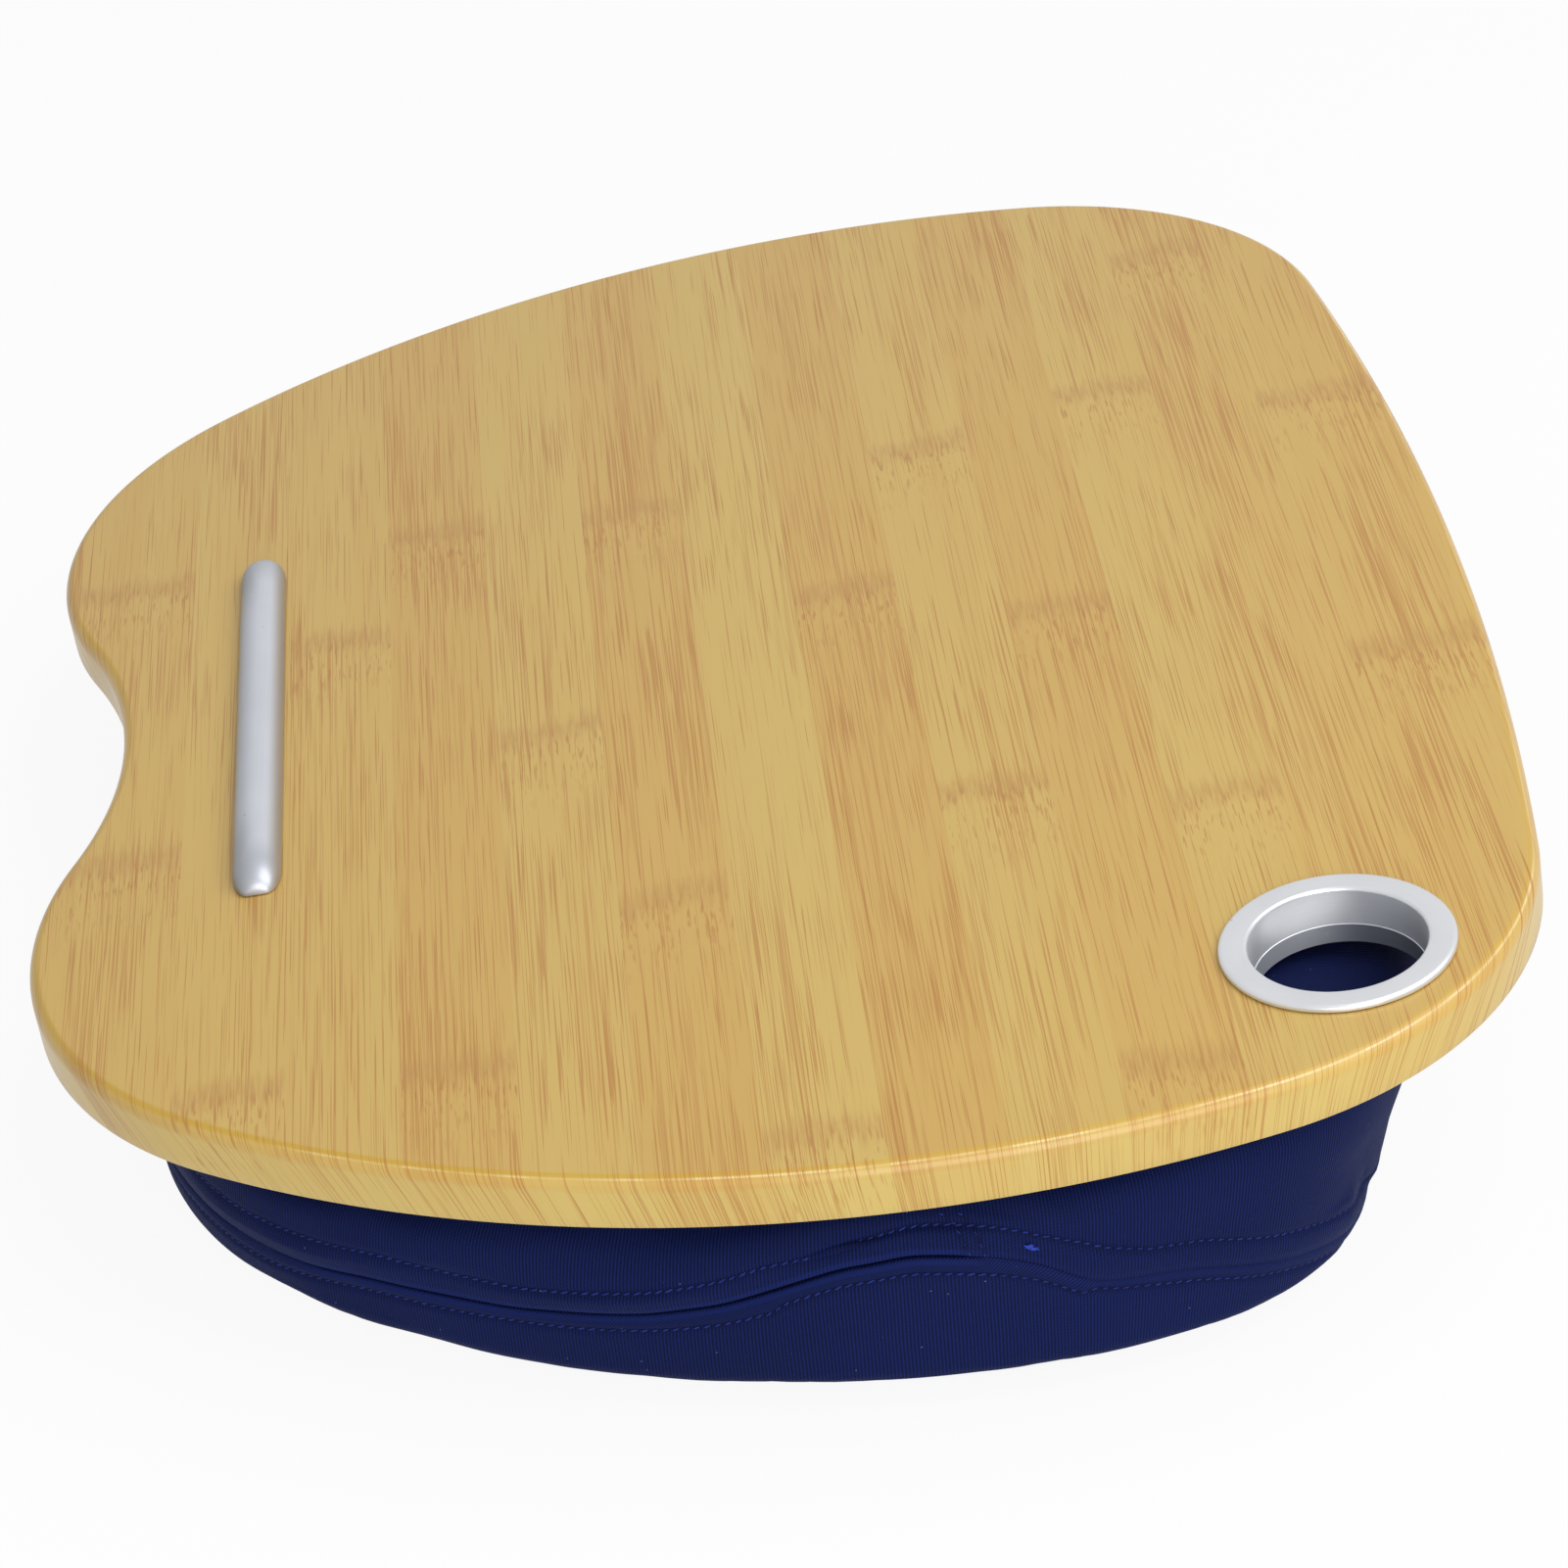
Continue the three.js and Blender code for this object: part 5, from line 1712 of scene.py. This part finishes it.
    def loose_thread(self, swelling: Swelling) -> None:
        """A small tuft of thread ends that stands out of the sewn band behind the zip.

        Args:
            swelling: The result of the swell method.
        """
        curve = bpy.data.curves.new("loose_thread", "CURVE")
        curve.dimensions = "3D"
        curve.bevel_depth = self.tuft_radius
        curve.bevel_resolution = 1
        chance = np.random.default_rng(5)
        steps = np.linspace(0.0, 1.0, self.tuft_points)
        for _ in range(self.thread_ends):
            length, slant, curl = chance.uniform(*self.tuft_shape)
            y, up = chance.uniform(*self.tuft_place)
            ys = y + length * math.cos(slant) * steps
            ups = up + length * math.sin(slant) * steps + curl * np.sin(np.pi * steps)
            lifts = self.thread_lift + self.tuft_lift * np.sin(np.pi * 0.8 * steps)
            part = self.sections(self.side_distance(ys))
            rows = ups[None, :]
            laid = self.lay(part, rows, self.relief(part, rows, swelling) + lifts[None, :])[0]
            line = curve.splines.new("POLY")
            line.points.add(len(laid) - 1)
            for point, place in zip(line.points, laid):
                point.co = (*place, 1.0)
        holder = add_object("thread_path", curve)
        mesh = plain_mesh(holder)
        bpy.data.objects.remove(holder)
        mesh.transform(row_matrix())
        thread = LOOSE_THREAD.material("blue_thread")
        finish_piece(add_object("loose_thread", mesh), Body.CUSHION, thread)


class GrowthTree(Nodes):
    """A Geometry Nodes tree that is built in steps and turned into plain meshes."""

    def __init__(self, name: str) -> None:
        """Makes the empty tree.

        Args:
            name: The tree's name.
        """
        super().__init__(bpy.data.node_groups.new(name, "GeometryNodeTree"))

    def rotated(self, first: Node, second: Node) -> Node:
        """One rotation followed by another about its own axes."""
        turns = {0: first.outputs[0], 1: second.outputs[0]}
        return self.node("FunctionNodeRotateRotation", turns, rotation_space="LOCAL")

    def vector(self, operation: str, inputs: Inputs) -> Socket:
        """The result of one step of vector arithmetic."""
        return self.node("ShaderNodeVectorMath", inputs, operation=operation).outputs[0]

    def aligned(self, inputs: Inputs, axis: str, pivot: str = "AUTO") -> Node:
        """A rotation that turns one axis to a vector."""
        kind = "FunctionNodeAlignRotationToVector"
        return self.node(kind, inputs, axis=axis, pivot_axis=pivot)

    def scatter(self, low: Any, high: Any, seed: Socket) -> Node:
        """A random vector for each point, between two vectors."""
        limits = {0: low, 1: high, "Seed": seed}
        return self.node("FunctionNodeRandomValue", limits, data_type="FLOAT_VECTOR")

    def inputs(self, numbers: dict[str, float], counts: dict[str, int]) -> Node:
        """Gives the tree its geometry, its named sizes, its counts and a finish.

        Args:
            numbers: Names and usual values of sizes.
            counts: Names and usual values of whole numbers.

        Returns:
            The node that hands them out.
        """
        face = self.tree.interface
        face.new_socket("Geometry", in_out="INPUT", socket_type="NodeSocketGeometry")
        for kind, defaults in (("NodeSocketFloat", numbers), ("NodeSocketInt", counts)):
            for label, default in defaults.items():
                socket = face.new_socket(label, in_out="INPUT", socket_type=kind)
                socket.default_value = default
        face.new_socket("Finish", in_out="INPUT", socket_type="NodeSocketMaterial")
        face.new_socket("Geometry", in_out="OUTPUT", socket_type="NodeSocketGeometry")
        return self.node("NodeGroupInput")

    def output(self, instances: Socket, finish: Socket) -> None:
        """Ends the tree: real geometry, smooth, with its finish.

        Args:
            instances: What the tree has grown.
            finish: The material that it gets.
        """
        real = self.node("GeometryNodeRealizeInstances", {0: instances})
        smooth = self.node("GeometryNodeSetShadeSmooth", {0: real.outputs[0]})
        dressing = {"Geometry": smooth.outputs[0], "Material": finish}
        dressed = self.node("GeometryNodeSetMaterial", dressing)
        self.node("NodeGroupOutput", {0: dressed.outputs[0]})

    def grow(self, name: str, mesh: Mesh, settings: dict[str, Any]) -> Piece:
        """Runs the tree on a mesh.

        Args:
            name: The new piece's name.
            mesh: The mesh to start from.
            settings: The tree's inputs by name.

        Returns:
            The result as a plain mesh object.
        """
        piece = add_object(name, mesh)
        modifier = piece.modifiers.new("nodes", "NODES")
        modifier.node_group = self.tree
        for item in self.tree.interface.items_tree:
            if item.in_out == "INPUT" and item.name in settings:
                modifier[item.identifier] = settings[item.name]
        settle(piece)
        return piece


class PileTree(GrowthTree):
    """Bent bristles in rows over a strip: hooks or loops."""

    def __init__(self, name: str) -> None:
        """Builds the tree.

        Args:
            name: The tree's name.
        """
        super().__init__(name)
        sizes = {"Height": 0.7 * MM, "Bend": 0.6 * MM, "Thickness": 0.09 * MM, "Scatter": 0.3 * MM}
        given = self.inputs(sizes, {"Seed": 11})
        seed, spread = given.outputs["Seed"], given.outputs["Scatter"]
        top = self.node("ShaderNodeCombineXYZ", {2: given.outputs["Height"]})
        higher, half = (
            self.vector("MULTIPLY", {0: top.outputs[0], 1: (0.0, 0.0, rise)})
            for rise in (2.0, 0.35)
        )
        side = self.node("ShaderNodeCombineXYZ", {0: given.outputs["Bend"]})
        end = self.vector("ADD", {0: half, 1: side.outputs[0]})
        arch = {"Resolution": 5, "Start": (0.0, 0.0, 0.0), "Middle": higher, "End": end}
        bent = self.node("GeometryNodeCurveQuadraticBezier", arch)
        section = {"Resolution": 4, "Radius": given.outputs["Thickness"]}
        round_ = self.node("GeometryNodeCurvePrimitiveCircle", section)
        bristle = self.node("GeometryNodeCurveToMesh", {0: bent.outputs[0], 1: round_.outputs[0]})
        normal = self.node("GeometryNodeInputNormal")
        upright = self.aligned({"Vector": normal.outputs[0]}, "Z")
        spin = self.scatter((-0.2, -0.2, -0.7), (0.2, 0.2, 0.7), seed)
        both = self.rotated(upright, self.node("FunctionNodeEulerToRotation", {0: spin.outputs[0]}))
        low, high = (
            self.vector("SCALE", {0: (way, way, 0.0), "Scale": spread}) for way in (-1.0, 1.0)
        )
        jitter = self.scatter(low, high, seed)
        shifts = {"Geometry": given.outputs["Geometry"], "Offset": jitter.outputs[0]}
        moved = self.node("GeometryNodeSetPosition", shifts)
        laid = {"Points": moved.outputs[0], "Instance": bristle.outputs[0]}
        laid |= {"Rotation": both.outputs[0]}
        placed = self.node("GeometryNodeInstanceOnPoints", laid)
        self.output(placed.outputs[0], given.outputs["Finish"])


class StitchTree(GrowthTree):
    """Dashes of thread along paths."""

    def __init__(self, name: str) -> None:
        """Builds the tree with named inputs for its sizes.

        Args:
            name: The tree's name.
        """
        super().__init__(name)
        sizes = {"Spacing": 2.3 * MM, "Length": 1.75 * MM, "Width": 0.48 * MM, "Height": 0.40 * MM}
        given = self.inputs(sizes, {"Seed": 7})
        curve = self.node("GeometryNodeMeshToCurve", {"Mesh": given.outputs["Geometry"]})
        spacing = {"Curve": curve.outputs[0], "Length": given.outputs["Spacing"]}
        even = self.node("GeometryNodeResampleCurve", spacing, mode="LENGTH")
        tangent = self.node("GeometryNodeInputTangent")
        stored = {"Name": "outward"}
        outward = self.node("GeometryNodeInputNamedAttribute", stored, data_type="FLOAT_VECTOR")
        turned = self.aligned({"Vector": tangent.outputs[0]}, "X")
        facing = {"Rotation": turned.outputs[0], "Vector": outward.outputs[0]}
        slant = self.node("FunctionNodeEulerToRotation", {0: (0.0, 0.0, 0.28)})
        slanted = self.rotated(self.aligned(facing, "Z", pivot="X"), slant)
        ball = self.node("GeometryNodeMeshIcoSphere", {"Radius": 0.5, "Subdivisions": 2})
        labels = ("Length", "Width", "Height")
        measures = {i: given.outputs[label] for i, label in enumerate(labels)}
        size = self.node("ShaderNodeCombineXYZ", measures)
        scaled = {"Geometry": ball.outputs[0], "Scale": size.outputs[0]}
        dash = self.node("GeometryNodeTransform", scaled)
        chance = self.scatter((0.8, 0.85, 0.8), (1.12, 1.1, 1.15), given.outputs["Seed"])
        laid = {"Points": even.outputs[0], "Instance": dash.outputs[0]}
        laid |= {"Rotation": slanted.outputs[0], "Scale": chance.outputs[0]}
        placed = self.node("GeometryNodeInstanceOnPoints", laid)
        self.output(placed.outputs[0], given.outputs["Finish"])

    def sew(self, name: str, paths: Sequence[np.ndarray], thread: Material) -> Piece:
        """Lays stitches along paths.

        Args:
            name: The piece's name.
            paths: For each path three rows of points, of which the middle one carries the thread.
            thread: The thread's finish.

        Returns:
            The stitches as one plain mesh.
        """
        vertices: list[Sequence[float]] = []
        edges: list[tuple[int, int]] = []
        outward: list[float] = []
        for rows in paths:
            start = len(vertices)
            line = rows[1]
            along = np.gradient(line, axis=0)
            normal = np.cross(rows[2] - rows[0], along)
            normal /= np.linalg.norm(normal, axis=1)[:, None]
            facing = np.sign((normal[:, :2] * line[:, :2]).sum(axis=1).mean())
            vertices.extend(map(tuple, line))
            outward.extend((normal * facing).ravel())
            edges.extend((start + i, start + i + 1) for i in range(len(line) - 1))
        mesh = bpy.data.meshes.new(name)
        mesh.from_pydata(vertices, edges, [])
        mesh.attributes.new("outward", "FLOAT_VECTOR", "POINT").data.foreach_set("vector", outward)
        mesh.transform(row_matrix())
        return self.grow(name, mesh, {"Finish": thread})


# Zip and strips


@dataclass
class Fastenings:
    """The zip's tapes, teeth, stops, slider and pull, and the hook-and-loop strips."""

    corners: tuple[str, ...] = ("back_left", "back_right", "front_left", "front_right")
    strip_x: float = 95.0
    strip_back_y: float = 62.0
    strip_front_y: float = -78.0
    strip_length: float = 70.0
    strip_width: float = 20.0
    margin: float = 2.0
    pile_pitch: float = 1.6
    hook_face: float = -1.5
    loop_face: float = -1.8
    pull_pivot: Place = (210.1514714, 14.2302024, 39.5394651)
    pull_parked: float = -3.2
    zip_tilt: float = 9.6
    pull_length: float = 12.0
    pull_head: float = 1.2
    pull_eye: float = 0.85
    eye_sides: int = 16
    pull_waist: float = 0.8
    pull_end: float = 1.3
    pull_half: float = 0.4
    pull_bevel: float = 0.1

    def bed(self, name: str, face: float, upward: bool) -> Mesh:
        """Rows of points over all four strips, on one face of them.

        Args:
            name: The mesh's name.
            face: The face's height in the board's frame.
            upward: Whether the face looks up.

        Returns:
            Four grids whose normals look away from the strips.
        """
        skin = Skin()
        half_x = 0.5 * self.strip_length - self.margin
        half_y = 0.5 * self.strip_width - self.margin
        xs = np.arange(-half_x, half_x + 0.01, self.pile_pitch)
        ys = np.arange(-half_y, half_y + 0.01, self.pile_pitch)
        for x in (-self.strip_x, self.strip_x):
            for y in (self.strip_back_y, self.strip_front_y):
                across, along = np.meshgrid(ys + y, xs + x, indexing="ij")
                points = np.stack([along, across, np.full(along.shape, face)], axis=2)
                skin.grid(points, None, closed=False, flip=not upward)
        mesh = bpy.data.meshes.new(name)
        mesh.from_pydata(skin.vertices, [], skin.faces)
        mesh.transform(board_matrix())
        return mesh

    def pile(self) -> None:
        """Grows hooks under the board's strips and soft loops on the cushion's strips."""
        tree = PileTree("strip_pile")
        for name, body, slot, face, upward, sizes in (
            ("hooks", Body.TRAY, Slot.HOOKS, self.hook_face, False, (0.45, 0.55, 0.10, 0.05)),
            ("loops", Body.CUSHION, Slot.LOOPS, self.loop_face, True, (0.50, 1.50, 0.07, 0.6)),
        ):
            nylon = BLACK_NYLON.material(f"nylon_{name}")
            labels = ("Height", "Bend", "Thickness", "Scatter")
            settings = {label: size * MM for label, size in zip(labels, sizes)} | {"Finish": nylon}
            piece = tree.grow(f"strip_{name}", self.bed(f"strip_{name}", face, upward), settings)
            finish_piece(piece, body, nylon)

    def pull(self, metal: Material) -> None:
        """The pull as a thin stamped tab that clears the zip's narrow slit when it swings out.

        Args:
            metal: The pull's finish.
        """
        tip = self.pull_length - self.pull_end
        half_turn = np.linspace(0.0, math.pi, 13)
        head = -self.pull_head * spokes(half_turn)
        end = self.pull_end * spokes(half_turn) + (0.0, tip)
        waist = (self.pull_waist, 0.5 * self.pull_length)
        outer = np.concatenate([head, [waist], end, [(-waist[0], waist[1])]])
        eye = self.pull_eye * spokes(-math.tau * np.arange(self.eye_sides) / self.eye_sides)
        levels = ((self.pull_bevel, -self.pull_half), (0.0, self.pull_bevel - self.pull_half))
        levels += tuple((inset, -height) for inset, height in reversed(levels))
        skin = Skin()
        faces: list[tuple[list[int], list[int]]] = []
        for path in (outer, eye):
            along = np.roll(path, -1, axis=0) - np.roll(path, 1, axis=0)
            inward = np.stack([-along[:, 1], along[:, 0]], axis=1)
            inward /= np.linalg.norm(along, axis=1)[:, None]
            count = len(path)
            rows = [
                np.column_stack([path + inset * inward, np.full(count, height)])
                for inset, height in levels
            ]
            first = len(skin.vertices)
            last = first + (len(levels) - 1) * count
            skin.grid(np.stack(rows), None, closed=True)
            faces.append(tuple(list(range(n, n + count)) for n in (first, last)))
        skin.cap([low for low, _ in faces], flip=True)
        skin.cap([high for _, high in faces])
        turned = Matrix.Rotation(math.radians(self.zip_tilt), 4, "X")
        turned = turned @ Matrix.Rotation(math.radians(self.pull_parked), 4, "Z")
        place = Matrix.Translation(Vector(self.pull_pivot) * MM) @ turned @ Matrix.Scale(MM, 4)
        finish_piece(skin.piece("pull_tab", place), Body.PULL, metal, ["zip_pull"])

    def build(self) -> None:
        """Dresses the nodes, makes the pull and grows the strips' pile."""
        self.pile()
        metal = ZIP_METAL.material("zip_metal")
        self.pull(metal)
        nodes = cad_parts
        dressed = {
            ZIP_TAPE.material("zip_tape"): ("zip_tape_upper", "zip_tape_lower"),
            ZIP_TEETH.material("zip_teeth"): ("zip_teeth_upper", "zip_teeth_lower"),
            metal: ("zip_top_stop_upper", "zip_top_stop_lower", "zip_bottom_stop", "zip_slider"),
            BLACK_NYLON.material("hook_nylon"): tuple(f"hook_strip_{c}" for c in self.corners),
            BLACK_NYLON.material("loop_nylon"): tuple(f"loop_strip_{c}" for c in self.corners),
        }
        for material, names in dressed.items():
            for name in names:
                nodes[name].data.materials[0] = material
                LOG.info("%s: dressed in %s", name, material.name)


# Studio


@dataclass
class Studio:
    """The floor, the light and the camera at the photograph's angle."""

    camera_place: Place = (1.0101714, -0.0295907, 0.6358571)
    camera_right: Place = (0.0798, 0.9940, -0.0754)
    camera_up: Place = (-0.5117, 0.1057, 0.8527)
    focal_pixels: float = 4978.8
    picture_width: float = 1601.0
    sensor: float = 36.0
    sky: float = 0.432
    sky_mirrored: float = 0.8
    floor_size: float = 4.0
    floor_drop: float = 0.0004
    floor_white: float = 0.92

    def build(self) -> None:
        """Makes the whole studio."""
        self.camera()
        self.floor()
        self.world()
        self.lamps()
        bpy.context.scene.view_settings.view_transform = "Standard"

    def camera(self) -> None:
        """Sets the fitted camera."""
        data = bpy.data.cameras.new("camera")
        data.sensor_fit = "HORIZONTAL"
        data.sensor_width = self.sensor
        data.lens = self.focal_pixels / self.picture_width * self.sensor
        data.clip_start = 0.01
        made = add_object("camera", data)
        right = Vector(self.camera_right).normalized()
        up = Vector(self.camera_up)
        up = (up - right * up.dot(right)).normalized()
        back = right.cross(up)
        turn = Matrix((right, up, back)).transposed().to_4x4()
        made.matrix_world = Matrix.Translation(self.camera_place) @ turn
        bpy.context.scene.camera = made

    def floor(self) -> None:
        """A pale floor that looks white and keeps a soft shadow."""
        size, low = self.floor_size, -self.floor_drop
        mesh = bpy.data.meshes.new("floor")
        corners = [(-size, -size, low), (size, -size, low), (size, size, low), (-size, size, low)]
        mesh.from_pydata(corners, [], [(0, 1, 2, 3)])
        made = add_object("floor", mesh)
        s = Shader(bpy.data.materials.new("floor"))
        camera, mirrored = self.rays(s)
        matt = s.node("ShaderNodeBsdfDiffuse", {"Color": (0.8, 0.8, 0.8)})
        white = s.node("ShaderNodeEmission", {"Color": (1.0, 1.0, 1.0), "Strength": 1.0})
        share = camera.most(mirrored) * self.floor_white
        both = s.node("ShaderNodeMixShader", {0: share, 1: matt.outputs[0], 2: white.outputs[0]})
        mesh.materials.append(s.end("ShaderNodeOutputMaterial", both))

    def world(self) -> None:
        """An even sky that looks white to the camera and pale in reflections."""
        world = bpy.data.worlds.new("sky")
        bpy.context.scene.world = world
        s = Shader(world)
        camera, mirrored = self.rays(s)
        strength = camera.most(mirrored * (self.sky_mirrored - self.sky) + self.sky)
        white = {"Color": (1.0, 1.0, 1.0), "Strength": strength}
        s.end("ShaderNodeOutputWorld", s.node("ShaderNodeBackground", white))

    def rays(self, s: Shader) -> tuple[Value, Value]:
        """One for rays from the camera, and one for rays that a surface mirrors or lets through.

        Args:
            s: The shader that needs to tell the rays apart.

        Returns:
            The two values.
        """
        path = s.node("ShaderNodeLightPath").outputs
        mirrored = Value(s, path["Is Glossy Ray"]).most(Value(s, path["Is Transmission Ray"]))
        return Value(s, path["Is Camera Ray"]), mirrored

    def lamps(self) -> None:
        """Two soft boxes: a large one above and a smaller one on the camera's side."""
        for name, place, aim, size, power in (
            ("top_box", (0.2, 0.75, 1.25), (0.0, 0.0, 0.05), 1.3, 13.2),
            ("front_box", (1.6, 0.15, 0.75), (0.1, 0.0, 0.05), 1.1, 15.5),
        ):
            data = bpy.data.lights.new(name, "AREA")
            data.energy = power
            data.size = size
            made = add_object(name, data)
            made.location = place
            made.rotation_euler = (Vector(aim) - Vector(place)).to_track_quat("-Z", "Y").to_euler()


def main() -> None:
    """Builds the studio and the tray, piece by piece."""
    logging.basicConfig(level=logging.INFO, format="%(name)s: %(message)s")
    for assembly in (Studio(), Board(), Cushion(), Fastenings()):
        assembly.build()


if __name__ == "__main__":
    main()
